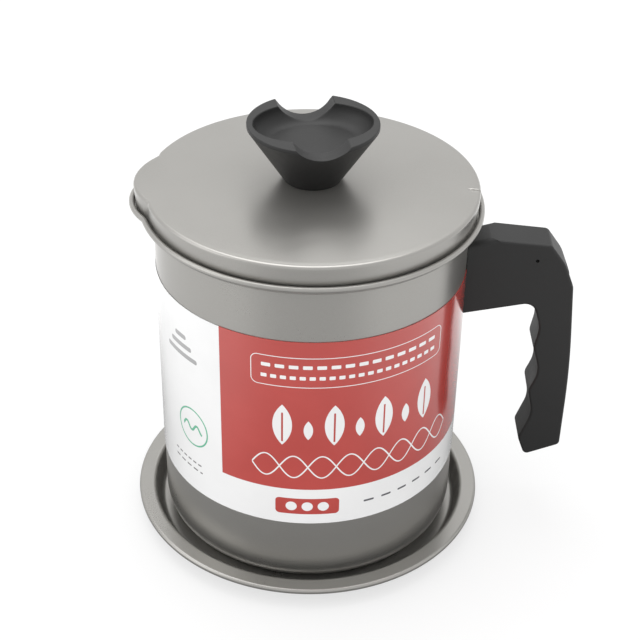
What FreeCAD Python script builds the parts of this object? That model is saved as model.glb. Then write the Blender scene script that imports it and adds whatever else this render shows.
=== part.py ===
import FreeCAD, Part
import math
import os

# Grease container with strainer, lid and drip tray.
# Millimetres, +Z up. The origin is on the pot's axis, at the underside of the tray.
# The handle points along +X and the pouring spout along -X.

# ---------------------------------------------------------------- driving dimensions
SHEET = 0.8                      # steel sheet of the pot and the tray

# pot
POT_RADIUS = 58.5                # outside of the wall
POT_HEIGHT = 139.0               # underside of the floor to the top of the rolled rim
POT_CORNER_RADIUS = 10.0         # outside radius between the wall and the floor
RIM_WIDENING = 3.0               # how far the rim's inside stands outside the wall's outside
BEAD_RADIUS = 1.05               # rolled rim
SEAT_DEPTH = 2.4                 # top of the rim down to the seat inside it
SEAT_EDGE_RADIUS = 0.7           # rounded lower edge of the seat
SEAT_NECK_RADIUS = 0.9           # hollow under the seat, where it meets the wall

# pouring spout, pressed into the rim and matched by the lid
SPOUT_REACH = 3.85               # how far the rim bulges out
SPOUT_HALF_ANGLE = 17.5          # degrees, from the middle of the spout to each neck
SPOUT_NECK_RADIUS = 9.0          # inward curve at each side, measured on the bead's centre

# drip tray
TRAY_GAP = 2.7                   # pot wall to the foot of the tray's wall
TRAY_HEIGHT = 8.8                # table to the top of the tray's brim
TRAY_WALL_FLARE = 2.1            # how far the wall leans out
TRAY_CORNER_RADIUS = 2.2         # inside radius between the wall and the floor
TRAY_BRIM_CORNER = 1.0           # outside radius between the wall and the brim
TRAY_BRIM_WIDTH = 5.65           # inner edge of the brim to the centre of its rolled edge
TRAY_BEAD_RADIUS = 1.15

# printed wrap round the pot
LABEL_THICKNESS = 0.2
LABEL_GLUE = 0.1                 # air and glue between the wall and the wrap
LABEL_FOOT = 31.9                # pot's underside to the wrap's lower edge
LABEL_DROP = 24.9                # top of the rim to the wrap's upper edge
LABEL_HANDLE_GAP = 1.2           # side of the handle to each end of the wrap

# strainer
STRAINER_SHEET = 0.6
STRAINER_GAP = 3.1               # pot's inside to the strainer's neck
FLANGE_PLAY = 0.6                # rim's inside to the flange's edge
NECK_DEPTH = 9.0                 # flange down to the neck's lower edge
MESH_THICKNESS = 0.5
MESH_DEPTH = 50.0                # seat down to the underside of the mesh cup
MESH_TAPER = 6.5                 # how much smaller the cup is at its bottom
MESH_CORNER_RADIUS = 8.0
CLAMP_HEIGHT = 6.0               # ring that holds the mesh in the neck
CRIMP_PLAY = 0.05                # between the layers of the crimped joint
TAB_WIDTH = 14.0                 # finger tabs for lifting the strainer
TAB_HEIGHT = 5.0
TAB_FOOT = 3.0
TAB_EDGE_INSET = 1.0             # neck's inside to the back of the tab

# lid
LID_SHEET = 0.7
LID_HEIGHT = 8.9                 # skirt's lower edge to the top's edge
LID_CROWN = 1.2                  # how far the middle of the top stands above its edge
LID_PLAY = 0.5                   # rim's inside to the skirt's lower edge
LID_FLARE = 0.7                  # how much wider the skirt is at the top
LID_EDGE_RADIUS = 1.2

# knob
KNOB_FOOT_RADIUS = 10.5
KNOB_RIM_RADIUS = 24.0
KNOB_HEIGHT = 22.2
KNOB_BAND_HEIGHT = 1.4           # upright band under the top
KNOB_LIP = 2.2                   # width of the flat lip at the sides of the dish
KNOB_EDGE_ROUNDING = 0.4
KNOB_DISH_DEPTH = 6.9
KNOB_DISH_DRAFT = 1.2            # how far the dish's wall leans in
KNOB_DISH_CORNER_RADIUS = 6.8    # between the dish's wall and floor, at the sides
KNOB_DISH_NARROWING = 0.766      # the dish's width along the scoops, over its width across them
KNOB_SCOOP_RADIUS = 12.25        # finger scoops cut through the lip
KNOB_SCOOP_DEPTH = 5.5           # on the knob's axis
KNOB_SCOOP_LEAN = 2.3            # degrees, deeper towards +Y
KNOB_SCOOP_TURN = 10.0           # degrees, scoops' line from the Y axis
INSERT_RADIUS = 3.5
INSERT_LENGTH = 9.0
KNOB_SCREW_LENGTH = 8.0          # under the head

# handle
HANDLE_WIDTH = 14.6
HANDLE_WALL_GAP = 0.3            # handle's end to the pot's wall
HANDLE_SCREW_DROP = 30.5         # top of the rim to the handle screw's axis
ARM_TOP_RISE = 17.5              # above the screw's axis, at the block's high corner
ARM_NECK_RISE = 14.9             # above the screw's axis, at the wall
ARM_NECK_CLIMB = 2.5             # how far the neck climbs to the block
ARM_NECK_LENGTH = 9.2            # wall to the block's high corner
ARM_NECK_RADIUS = 2.6            # rounded long edges of the neck
ARM_NECK_RAMP = 1.0              # length of the step from the neck to the block
BLOCK_CORNER_RADIUS = 3.2        # the block's end, seen from above
BLOCK_LIP_RADIUS = 0.8           # the block's high edge, seen from the side
ARM_TOP_FALL = 2.1               # how far the block's top slopes down outwards
ARM_TOP_LENGTH = 30.9            # wall to the outer end of the block's top
ARM_TOP_RADIUS = 2.5
ARM_UNDER_DROP = 15.2            # below the screw's axis, at the wall
ARM_UNDER_RISE = 5.4             # how far the underside climbs outwards
ARM_UNDER_LENGTH = 26.4          # wall to the inner corner of the finger gap
ARM_INNER_RADIUS = 4.5           # inner corner of the finger gap
SHOULDER_REACH = 40.8            # wall to the knee of the shoulder
SHOULDER_DROP = 2.6              # knee below the screw's axis
SHOULDER_BULGE = 1.3             # how far the shoulder stands outside its chord
SHOULDER_RADIUS = 16.0
KNEE_RADIUS = 5.0
GRIP_REACH = 43.6                # wall to the back of the grip at its lower end
GRIP_BACK_BULGE = 1.55           # how far the grip's back stands outside its chord
GRIP_BACK_RADIUS = 400.0
GRIP_TIP_DROP = 83.4             # lowest point below the screw's axis
GRIP_TIP_REACH = 29.7            # wall to the lowest point
GRIP_TIP_SLOPE = 5.6             # how far the lower end climbs outwards
GRIP_TIP_RADIUS = 2.0
HEEL_DROP = 74.9                 # lowest finger ridge below the screw's axis
HEEL_REACH = 26.5                # wall to the lowest finger ridge
HEEL_RADIUS = 3.5
FINGER_REACH = 28.35             # wall to the finger ridges
FINGER_DEPTHS = (1.6, 3.5, 2.5)  # ridge corner to hollow corner, from the top
FINGER_PITCH = 20.5
FINGER_TOP_DROP = 21.3           # first hollow below the screw's axis
FINGER_RIDGE_LIFT = 1.0          # ridges above the middle between their hollows
FINGER_HOLLOW_RADIUS = 14.0
FINGER_RIDGE_RADIUS = 5.0
HANDLE_EDGE_RADIUS = 0.9
MOULD_PIN_RADIUS = 0.7           # small blind pin mark in each side
MOULD_PIN_DEPTH = 1.2
MOULD_PIN_REACH = 26.0
MOULD_PIN_RISE = 9.0

# handle's fixing
STRAP_WIDTH = 10.0
STRAP_SHEET = 1.5
STRAP_HALF_HEIGHT = 11.5
STRAP_STEP_HALF_HEIGHT = 7.0
STRAP_STEP_DEPTH = 5.6           # wall to the inside of the raised step
STRAP_WELD_GAP = 0.05
SOCKET_CLEARANCE = 0.3           # round the strap, in the handle's end
SCREW_RADIUS = 2.5
SCREW_HOLE_PLAY = 0.3
THREAD_PLAY = 0.05               # screw in nut or insert
SCREW_HEAD_RADIUS = 4.5
SCREW_HEAD_HEIGHT = 2.8
HEAD_ROUNDING = 1.2
CROSS_WIDTH = 1.2                # cross slot in a screw's head
CROSS_LENGTH = 5.0
CROSS_DEPTH = 1.4
WASHER_RADIUS = 4.6
KNOB_WASHER_RADIUS = 7.0
WASHER_THICKNESS = 1.0
NUT_SIZE = 8.0
NUT_THICKNESS = 4.0
HEAD_POCKET_PLAY = 0.4           # washer in the handle's screw pocket
POCKET_DEPTH = 17.5              # knee of the shoulder to the pocket's floor

# ---------------------------------------------------------------- derived places
POT_BASE_Z = SHEET
RIM_TOP_Z = POT_BASE_Z + POT_HEIGHT
SEAT_Z = RIM_TOP_Z - SEAT_DEPTH
BEAD_Z = RIM_TOP_Z - BEAD_RADIUS
POT_INSIDE = POT_RADIUS - SHEET
RIM_INSIDE = POT_RADIUS + RIM_WIDENING
BEAD_PATH = RIM_INSIDE + BEAD_RADIUS
FLANGE_TOP_Z = SEAT_Z + STRAINER_SHEET
NECK_RADIUS = POT_INSIDE - STRAINER_GAP
NECK_INSIDE = NECK_RADIUS - STRAINER_SHEET
MESH_RADIUS = NECK_INSIDE - CRIMP_PLAY
CLAMP_RADIUS = MESH_RADIUS - MESH_THICKNESS - CRIMP_PLAY
LID_TOP_Z = FLANGE_TOP_Z + LID_HEIGHT
LID_APEX_Z = LID_TOP_Z + LID_CROWN
LID_SKIRT = RIM_INSIDE - LID_PLAY
LID_TOP_RADIUS = LID_SKIRT + LID_FLARE
CROWN_SPHERE = (LID_TOP_RADIUS ** 2 + LID_CROWN ** 2) / (2 * LID_CROWN)
WASHER_DROP = CROWN_SPHERE - math.sqrt(CROWN_SPHERE ** 2 - KNOB_WASHER_RADIUS ** 2)
WASHER_TOP_Z = LID_APEX_Z - LID_SHEET - WASHER_DROP
SCREW_Z = RIM_TOP_Z - HANDLE_SCREW_DROP
WEB_X = POT_RADIUS + STRAP_STEP_DEPTH
SOCKET_FLOOR_X = WEB_X + STRAP_SHEET
KNEE_X = POT_RADIUS + SHOULDER_REACH
POCKET_FLOOR_X = KNEE_X - POCKET_DEPTH
BLOCK_X = POT_RADIUS + ARM_NECK_LENGTH

UP = FreeCAD.Vector(0, 0, 1)
OUT = FreeCAD.Vector(1, 0, 0)
ACROSS = FreeCAD.Vector(0, 1, 0)
CENTRE = FreeCAD.Vector(0, 0, 0)


# ---------------------------------------------------------------- helpers
def in_section(r, z):
    """A point of the section plane: r along +X, z up."""
    return FreeCAD.Vector(r, 0, z)


def rounded_wire(corners):
    """Closed wire in the section plane through (r, z, radius) corners, with tangent arcs at the corners."""
    edges = []
    ends = []
    count = len(corners)
    for index in range(count):
        before = in_section(*corners[index - 1][:2])
        here = in_section(*corners[index][:2])
        after = in_section(*corners[(index + 1) % count][:2])
        radius = corners[index][2]
        if radius == 0:
            ends.append((here, here, None))
            continue
        back = (before - here).normalize()
        ahead = (after - here).normalize()
        half = back.getAngle(ahead) / 2
        reach = radius / math.tan(half)
        middle_line = (back + ahead).normalize()
        middle = here + middle_line * (radius / math.sin(half) - radius)
        ends.append((here + back * reach, here + ahead * reach, middle))
    for index in range(count):
        start, end, middle = ends[index]
        if middle is not None:
            edges.append(Part.Arc(start, middle, end).toShape())
        following = ends[(index + 1) % count][0]
        edges.append(Part.LineSegment(end, following).toShape())
    return Part.Wire(edges)


def turned(wire, degrees=360):
    """Solid of a section wire turned about the pot's axis, starting at +X."""
    return Part.Face(wire).revolve(CENTRE, UP, degrees)


def upright(radius, bottom, top):
    """Cylinder on the pot's axis between two heights."""
    return Part.makeCylinder(radius, top - bottom, in_section(0, bottom), UP)


def along_screw(radius, start_x, end_x):
    """Cylinder on the handle screw's axis between two distances from the pot's axis."""
    return Part.makeCylinder(radius, end_x - start_x, in_section(start_x, SCREW_Z), OUT)


def block(x_range, y_half, z_range):
    """Box centred on Y."""
    corner = FreeCAD.Vector(x_range[0], -y_half, z_range[0])
    return Part.makeBox(x_range[1] - x_range[0], 2 * y_half, z_range[1] - z_range[0], corner)


def rim_outline(path_radius, z):
    """The rim seen from above, parallel to the bead: a circle with the spout's nose at -X.

    Main arc, inward neck, nose, inward neck, all tangent. The nose's radius follows from the
    neck circles, which touch both the main circle and the nose.
    """
    neck_distance = BEAD_PATH + SPOUT_NECK_RADIUS
    tip = BEAD_PATH + SPOUT_REACH
    half_angle = math.radians(SPOUT_HALF_ANGLE)
    across = neck_distance * math.cos(half_angle)
    nose_radius = neck_distance ** 2 + tip ** 2 - 2 * across * tip - SPOUT_NECK_RADIUS ** 2
    nose_radius = nose_radius / (2 * (tip + SPOUT_NECK_RADIUS - across))
    nose = FreeCAD.Vector(nose_radius - tip, 0, z)
    offset = path_radius - BEAD_PATH
    axis_point = FreeCAD.Vector(0, 0, z)
    neck = FreeCAD.Vector(-across, neck_distance * math.sin(half_angle), z)
    on_main = axis_point + (neck - axis_point).normalize() * path_radius
    neck_to_axis = (axis_point - neck).normalize()
    neck_to_nose = (nose - neck).normalize()
    neck_reach = SPOUT_NECK_RADIUS - offset
    on_nose = neck + neck_to_nose * neck_reach
    neck_middle = neck + (neck_to_axis + neck_to_nose).normalize() * neck_reach
    tip_point = FreeCAD.Vector(-tip - offset, 0, z)
    far_side = FreeCAD.Vector(path_radius, 0, z)
    edges = [
        Part.Arc(mirrored(on_main), far_side, on_main).toShape(),
        Part.Arc(on_main, neck_middle, on_nose).toShape(),
        Part.Arc(on_nose, tip_point, mirrored(on_nose)).toShape(),
        Part.Arc(mirrored(on_nose), mirrored(neck_middle), mirrored(on_main)).toShape(),
    ]
    return Part.Wire(edges)


def mirrored(point):
    """The same point on the other side of the plane y = 0."""
    return FreeCAD.Vector(point.x, -point.y, point.z)


def rim_prism(path_radius, bottom, top):
    """Solid with the rim's outline between two heights."""
    return Part.Face(rim_outline(path_radius, bottom)).extrude(UP * (top - bottom))


def edges_at(shape, z, outside_radius):
    """Edges of a shape that lie level at a height and further out than a radius."""
    chosen = []
    for edge in shape.Edges:
        box = edge.BoundBox
        level = abs(box.ZMin - z) < 1e-4 and abs(box.ZMax - z) < 1e-4
        middle = edge.valueAt((edge.FirstParameter + edge.LastParameter) / 2)
        if level and math.hypot(middle.x, middle.y) > outside_radius:
            chosen.append(edge)
    return chosen


def pan_head_screw(length):
    """Screw standing on its head's seat: shank along +Z from 0, head below it, cross slot in the head."""
    shank = Part.makeCylinder(SCREW_RADIUS, length)
    head = Part.makeCylinder(SCREW_HEAD_RADIUS, SCREW_HEAD_HEIGHT, in_section(0, -SCREW_HEAD_HEIGHT))
    head = head.makeFillet(HEAD_ROUNDING, edges_at(head, -SCREW_HEAD_HEIGHT, SCREW_RADIUS))
    screw = shank.fuse(head).removeSplitter()
    half_length = CROSS_LENGTH / 2
    half_width = CROSS_WIDTH / 2
    floor = CROSS_DEPTH - SCREW_HEAD_HEIGHT
    lowest = -2 * SCREW_HEAD_HEIGHT
    screw = screw.cut(block((-half_length, half_length), half_width, (lowest, floor)))
    return screw.cut(block((-half_width, half_width), half_length, (lowest, floor)))


# ---------------------------------------------------------------- pot
def pot_body():
    """Drawn steel pot: rounded foot, straight wall, seat and rolled rim with a spout."""
    corner = POT_CORNER_RADIUS
    cup = turned(rounded_wire([
        (0, POT_BASE_Z, 0),
        (POT_RADIUS, POT_BASE_Z, corner),
        (POT_RADIUS, SEAT_Z, 0),
        (POT_INSIDE, SEAT_Z, 0),
        (POT_INSIDE, POT_BASE_Z + SHEET, corner - SHEET),
        (0, POT_BASE_Z + SHEET, 0),
    ]))
    seat_under = SEAT_Z - SHEET
    seat = rim_prism(RIM_INSIDE + SHEET, seat_under, BEAD_Z - BEAD_RADIUS / 4)
    seat = seat.makeFillet(SEAT_EDGE_RADIUS, edges_at(seat, seat_under, 0))
    seat = seat.cut(rim_prism(RIM_INSIDE, SEAT_Z, RIM_TOP_Z))
    seat = seat.cut(upright(POT_INSIDE, POT_BASE_Z, RIM_TOP_Z))
    neck = SEAT_NECK_RADIUS
    fill = turned(neck_fill_wire(seat_under, neck))
    bead_path = rim_outline(BEAD_PATH, BEAD_Z)
    start = bead_path.Edges[0].valueAt(bead_path.Edges[0].FirstParameter)
    heading = bead_path.Edges[0].tangentAt(bead_path.Edges[0].FirstParameter)
    section = Part.Wire(Part.makeCircle(BEAD_RADIUS, start, heading))
    bead = bead_path.makePipeShell([section], True, True)
    return cup.fuse([seat, fill, bead]).removeSplitter()


def neck_fill_wire(z, radius):
    """Section of the concave fillet between the wall's outside and the seat's underside."""
    inner = in_section(POT_RADIUS - SHEET / 2, z)
    top = in_section(POT_RADIUS + radius, z)
    foot = in_section(POT_RADIUS, z - radius)
    below = in_section(POT_RADIUS - SHEET / 2, z - radius)
    lean = radius * (1 - math.sqrt(0.5))
    middle = in_section(POT_RADIUS + lean, z - lean)
    return Part.Wire([
        Part.LineSegment(inner, top).toShape(),
        Part.Arc(top, middle, foot).toShape(),
        Part.LineSegment(foot, below).toShape(),
        Part.LineSegment(below, inner).toShape(),
    ])


def label_wrap():
    """Printed paper wrap on the pot's wall, open where the handle is."""
    inner = POT_RADIUS + LABEL_GLUE
    outer = inner + LABEL_THICKNESS
    bottom = POT_BASE_Z + LABEL_FOOT
    top = RIM_TOP_Z - LABEL_DROP
    opening = HANDLE_WIDTH / 2 + LABEL_HANDLE_GAP
    half_opening = math.degrees(math.asin(opening / inner))
    section = rounded_wire([(inner, bottom, 0), (outer, bottom, 0), (outer, top, 0), (inner, top, 0)])
    band = turned(section, 360 - 2 * half_opening)
    return band.rotate(CENTRE, UP, half_opening)


# ---------------------------------------------------------------- drip tray
def drip_tray():
    """Shallow pressed tray: flat floor, leaning wall, level brim and rolled edge."""
    foot = POT_RADIUS + TRAY_GAP
    head = foot + TRAY_WALL_FLARE
    bead_path = head + TRAY_BRIM_WIDTH
    under_brim = TRAY_HEIGHT - SHEET
    lean = math.hypot(TRAY_WALL_FLARE, under_brim) / under_brim
    shift = SHEET * lean
    tray = turned(rounded_wire([
        (0, 0, 0),
        (foot + shift, 0, TRAY_CORNER_RADIUS + SHEET),
        (head + shift, under_brim, TRAY_BRIM_CORNER),
        (bead_path, under_brim, 0),
        (bead_path, TRAY_HEIGHT, 0),
        (head, TRAY_HEIGHT, TRAY_BRIM_CORNER + SHEET),
        (foot, SHEET, TRAY_CORNER_RADIUS),
        (0, SHEET, 0),
    ]))
    bead = Part.makeTorus(bead_path, TRAY_BEAD_RADIUS, in_section(0, TRAY_HEIGHT - TRAY_BEAD_RADIUS), UP)
    return tray.fuse(bead).removeSplitter()


# ---------------------------------------------------------------- strainer
def strainer_collar():
    """Pressed ring: flat flange that lies on the pot's seat, and a short neck below it."""
    return turned(rounded_wire([
        (RIM_INSIDE - FLANGE_PLAY, SEAT_Z, 0),
        (RIM_INSIDE - FLANGE_PLAY, FLANGE_TOP_Z, 0),
        (NECK_INSIDE, FLANGE_TOP_Z, 2 * STRAINER_SHEET),
        (NECK_INSIDE, FLANGE_TOP_Z - NECK_DEPTH, 0),
        (NECK_RADIUS, FLANGE_TOP_Z - NECK_DEPTH, 0),
        (NECK_RADIUS, SEAT_Z, STRAINER_SHEET),
    ]))


def strainer_mesh():
    """Woven mesh cup: straight edge held in the neck, tapered side and flat bottom."""
    top = FLANGE_TOP_Z - NECK_DEPTH + CLAMP_HEIGHT
    bend = FLANGE_TOP_Z - NECK_DEPTH
    bottom = SEAT_Z - MESH_DEPTH
    foot = MESH_RADIUS - MESH_TAPER
    inside = MESH_RADIUS - MESH_THICKNESS
    return turned(rounded_wire([
        (0, bottom, 0),
        (foot, bottom, MESH_CORNER_RADIUS),
        (MESH_RADIUS, bend, 0),
        (MESH_RADIUS, top, 0),
        (inside, top, 0),
        (inside, bend, 0),
        (foot - MESH_THICKNESS, bottom + MESH_THICKNESS, MESH_CORNER_RADIUS - MESH_THICKNESS),
        (0, bottom + MESH_THICKNESS, 0),
    ]))


def strainer_clamp_ring():
    """Flat ring that clamps the mesh inside the neck."""
    bottom = FLANGE_TOP_Z - NECK_DEPTH
    inner = CLAMP_RADIUS - STRAINER_SHEET
    return turned(rounded_wire([
        (inner, bottom, 0),
        (CLAMP_RADIUS, bottom, 0),
        (CLAMP_RADIUS, bottom + CLAMP_HEIGHT, 0),
        (inner, bottom + CLAMP_HEIGHT, 0),
    ]))


def strainer_lift_tabs():
    """Two bent tabs on the flange, front and back, to lift the strainer by."""
    back = NECK_INSIDE + 2 * STRAINER_SHEET + TAB_EDGE_INSET
    foot_end = back + TAB_FOOT
    section = [
        (back, FLANGE_TOP_Z, 0),
        (foot_end, FLANGE_TOP_Z, 0),
        (foot_end, FLANGE_TOP_Z + STRAINER_SHEET, 0),
        (back + STRAINER_SHEET, FLANGE_TOP_Z + STRAINER_SHEET, 0),
        (back + STRAINER_SHEET, FLANGE_TOP_Z + TAB_HEIGHT, 0),
        (back, FLANGE_TOP_Z + TAB_HEIGHT, 0),
    ]
    tab = Part.Face(rounded_wire(section)).extrude(ACROSS * TAB_WIDTH)
    tab = tab.translate(ACROSS * (-TAB_WIDTH / 2))
    front = tab.copy().rotate(CENTRE, UP, -90)
    rear = tab.copy().rotate(CENTRE, UP, 90)
    return Part.makeCompound([front, rear])


# ---------------------------------------------------------------- lid and knob
def lid_blank(skirt, bottom, apex_z):
    """Solid inside a shell of the lid: leaning sides under a crowned top."""
    lean = LID_FLARE / LID_HEIGHT
    high = apex_z + LID_SHEET
    sides = Part.makeLoft([
        rim_outline(skirt + lean * (bottom - FLANGE_TOP_Z), bottom),
        rim_outline(skirt + lean * (high - FLANGE_TOP_Z), high),
    ], True, True)
    return sides.common(Part.makeSphere(CROWN_SPHERE, in_section(0, apex_z - CROWN_SPHERE)))


def crown_edges(shell, rank):
    """Outer edges of the lid's top (rank 0) or of its underside (rank 1)."""
    crowns = [face for face in shell.Faces if isinstance(face.Surface, Part.Sphere)]
    crowns.sort(key=lambda face: -face.Surface.Center.z)
    return [edge for edge in crowns[rank].Edges if is_outer(edge)]


def is_outer(edge):
    """True for an edge whose middle lies outside the pot's bore."""
    middle = edge.valueAt((edge.FirstParameter + edge.LastParameter) / 2)
    return math.hypot(middle.x, middle.y) > POT_INSIDE


def lid_plate():
    """Pressed lid: crowned top, rounded edge and a skirt that follows the rim and its spout."""
    outer = lid_blank(LID_SKIRT, FLANGE_TOP_Z, LID_APEX_Z)
    inner = lid_blank(LID_SKIRT - LID_SHEET, FLANGE_TOP_Z - LID_SHEET, LID_APEX_Z - LID_SHEET)
    hole = upright(SCREW_RADIUS + SCREW_HOLE_PLAY, WASHER_TOP_Z, LID_APEX_Z + LID_SHEET)
    shell = outer.cut(inner).cut(hole)
    shell = shell.makeFillet(LID_EDGE_RADIUS, crown_edges(shell, 0))
    return shell.makeFillet(LID_EDGE_RADIUS - LID_SHEET, crown_edges(shell, 1))


def lid_knob():
    """Moulded knob: a cone with an oval dish, two finger scoops and a socket for its insert."""
    top = LID_APEX_Z + KNOB_HEIGHT
    dish_edge = KNOB_RIM_RADIUS - KNOB_LIP
    cone = turned(rounded_wire([
        (0, LID_APEX_Z, 0),
        (KNOB_FOOT_RADIUS, LID_APEX_Z, KNOB_EDGE_ROUNDING),
        (KNOB_RIM_RADIUS, top - KNOB_BAND_HEIGHT, KNOB_EDGE_ROUNDING),
        (KNOB_RIM_RADIUS, top, KNOB_EDGE_ROUNDING),
        (0, top, 0),
    ]))
    dish = turned(rounded_wire([
        (0, top - KNOB_DISH_DEPTH, 0),
        (dish_edge - KNOB_DISH_DRAFT, top - KNOB_DISH_DEPTH, KNOB_DISH_CORNER_RADIUS),
        (dish_edge, top, 0),
        (dish_edge, top + KNOB_LIP, 0),
        (0, top + KNOB_LIP, 0),
    ]))
    narrowing = FreeCAD.Matrix()
    narrowing.scale(1, KNOB_DISH_NARROWING, 1)
    dish = dish.transformGeometry(narrowing)
    scoop_axis_z = top - KNOB_SCOOP_DEPTH + KNOB_SCOOP_RADIUS
    scoop_length = 4 * KNOB_RIM_RADIUS
    scoop_start = FreeCAD.Vector(0, -scoop_length / 2, scoop_axis_z)
    scoop = Part.makeCylinder(KNOB_SCOOP_RADIUS, scoop_length, scoop_start, ACROSS)
    scoop.rotate(in_section(0, scoop_axis_z), OUT, -KNOB_SCOOP_LEAN)
    dish.rotate(CENTRE, UP, KNOB_SCOOP_TURN)
    scoop.rotate(CENTRE, UP, KNOB_SCOOP_TURN)
    socket = upright(INSERT_RADIUS, LID_APEX_Z, LID_APEX_Z + INSERT_LENGTH)
    return cone.cut([dish, scoop, socket])


def knob_insert():
    """Brass thread insert moulded into the knob's foot."""
    body = upright(INSERT_RADIUS, LID_APEX_Z, LID_APEX_Z + INSERT_LENGTH)
    return body.cut(upright(SCREW_RADIUS + THREAD_PLAY, LID_APEX_Z, LID_APEX_Z + INSERT_LENGTH))


def knob_washer():
    """Flat washer under the lid, round the knob's screw."""
    bottom = WASHER_TOP_Z - WASHER_THICKNESS
    disc = upright(KNOB_WASHER_RADIUS, bottom, WASHER_TOP_Z)
    return disc.cut(upright(SCREW_RADIUS + SCREW_HOLE_PLAY, bottom, WASHER_TOP_Z))


def knob_screw():
    """Pan-head screw from under the lid into the knob's insert."""
    return pan_head_screw(KNOB_SCREW_LENGTH).translate(UP * (WASHER_TOP_Z - WASHER_THICKNESS))


# ---------------------------------------------------------------- handle
def finger_corners():
    """Corners of the wavy finger face, from the top hollow down to the last one."""
    ridge = POT_RADIUS + FINGER_REACH
    first = SCREW_Z - FINGER_TOP_DROP
    corners = []
    for index, depth in enumerate(FINGER_DEPTHS):
        hollow_z = first - index * FINGER_PITCH
        if index > 0:
            ridge_z = hollow_z + FINGER_PITCH / 2 + FINGER_RIDGE_LIFT
            corners.append((ridge, ridge_z, FINGER_RIDGE_RADIUS))
        corners.append((ridge + depth, hollow_z, FINGER_HOLLOW_RADIUS))
    return corners


def handle_outline():
    """Side view of the handle: arm with a sloped block on top, shoulder, grip and finger hollows."""
    wall = POT_RADIUS - SHEET
    top_z = SCREW_Z + ARM_TOP_RISE
    neck_z = SCREW_Z + ARM_NECK_RISE
    end = (POT_RADIUS + ARM_TOP_LENGTH, top_z - ARM_TOP_FALL)
    knee = (KNEE_X, SCREW_Z - SHOULDER_DROP)
    tip_z = SCREW_Z - GRIP_TIP_DROP
    heel = (POT_RADIUS + HEEL_REACH, SCREW_Z - HEEL_DROP)
    back_end = (POT_RADIUS + GRIP_REACH, tip_z + GRIP_TIP_SLOPE)
    under_z = SCREW_Z - ARM_UNDER_DROP
    corners = [
        (wall, under_z, 0),
        (wall, neck_z, 0),
        (BLOCK_X - ARM_NECK_RAMP, neck_z + ARM_NECK_CLIMB, 0),
        (BLOCK_X, top_z, BLOCK_LIP_RADIUS),
        (*end, ARM_TOP_RADIUS),
        (*bulged(end, knee, SHOULDER_BULGE), SHOULDER_RADIUS),
        (*knee, KNEE_RADIUS),
        (*bulged(knee, back_end, GRIP_BACK_BULGE), GRIP_BACK_RADIUS),
        (*back_end, GRIP_TIP_RADIUS),
        (POT_RADIUS + GRIP_TIP_REACH, tip_z, GRIP_TIP_RADIUS),
        (*heel, HEEL_RADIUS),
    ]
    corners.extend(reversed(finger_corners()))
    corners.append((POT_RADIUS + ARM_UNDER_LENGTH, under_z + ARM_UNDER_RISE, ARM_INNER_RADIUS))
    return rounded_wire(corners)


def bulged(start, end, bulge):
    """Point beside the middle of a falling chord, outwards by the bulge."""
    chord = math.hypot(end[0] - start[0], end[1] - start[1])
    x = (start[0] + end[0]) / 2 + bulge * (start[1] - end[1]) / chord
    z = (start[1] + end[1]) / 2 + bulge * (end[0] - start[0]) / chord
    return x, z


def neck_waste():
    """What is taken off round the neck, so that its long edges and the block's end are rounded."""
    side = HANDLE_WIDTH / 2
    wall = POT_RADIUS - SHEET
    neck_z = SCREW_Z + ARM_NECK_RISE
    far_x = BLOCK_X + BLOCK_CORNER_RADIUS
    around = block((wall, far_x), HANDLE_WIDTH, (neck_z - ARM_NECK_RADIUS, RIM_TOP_Z))
    section = Part.Face(rounded_wire([
        (-side, 0, 0),
        (side, 0, 0),
        (side, neck_z, ARM_NECK_RADIUS),
        (-side, neck_z, ARM_NECK_RADIUS),
    ]))
    section = section.rotate(CENTRE, UP, 90).translate(OUT * wall)
    slope = ARM_NECK_CLIMB / (BLOCK_X - ARM_NECK_RAMP - wall)
    neck = section.extrude(FreeCAD.Vector(1, 0, slope) * (far_x - wall))
    plan = Part.Face(rounded_wire([
        (BLOCK_X, -side, BLOCK_CORNER_RADIUS),
        (BLOCK_X, side, BLOCK_CORNER_RADIUS),
        (KNEE_X, side, 0),
        (KNEE_X, -side, 0),
    ]))
    pad = plan.rotate(CENTRE, OUT, 90).extrude(UP * RIM_TOP_Z)
    return around.cut([neck, pad])


def handle_grip():
    """Moulded handle with a socket for its strap, a screw hole and a screw pocket in the shoulder."""
    side = HANDLE_WIDTH / 2
    grip = Part.Face(handle_outline()).extrude(ACROSS * HANDLE_WIDTH)
    grip = grip.translate(ACROSS * -side)
    grip = grip.makeFillet(HANDLE_EDGE_RADIUS, outline_edges(grip, side))
    grip = grip.cut([upright(POT_RADIUS + HANDLE_WALL_GAP, 0, RIM_TOP_Z), neck_waste()])
    socket_half = STRAP_HALF_HEIGHT + SOCKET_CLEARANCE
    socket = block(
        (0, SOCKET_FLOOR_X),
        STRAP_WIDTH / 2 + SOCKET_CLEARANCE,
        (SCREW_Z - socket_half, SCREW_Z + socket_half),
    )
    far = POT_RADIUS + 2 * GRIP_REACH
    screw_hole = along_screw(SCREW_RADIUS + SCREW_HOLE_PLAY, 0, far)
    pocket = along_screw(WASHER_RADIUS + HEAD_POCKET_PLAY, POCKET_FLOOR_X, far)
    pin_x = POT_RADIUS + MOULD_PIN_REACH
    pin_place = FreeCAD.Vector(pin_x, MOULD_PIN_DEPTH - side, SCREW_Z + MOULD_PIN_RISE)
    pin = Part.makeCylinder(MOULD_PIN_RADIUS, MOULD_PIN_DEPTH, pin_place, -ACROSS)
    return grip.cut([socket, screw_hole, pocket, pin])


def outline_edges(shape, side):
    """The handle's edges that lie flat in its two side faces, from the block's top to the grip's tip."""
    chosen = []
    for edge in shape.Edges:
        box = edge.BoundBox
        flat = abs(box.YMax - box.YMin) < 1e-4
        if flat and abs(abs(box.YMin) - side) < 1e-4 and box.XMax > POT_RADIUS:
            chosen.append(edge)
    return chosen


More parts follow.
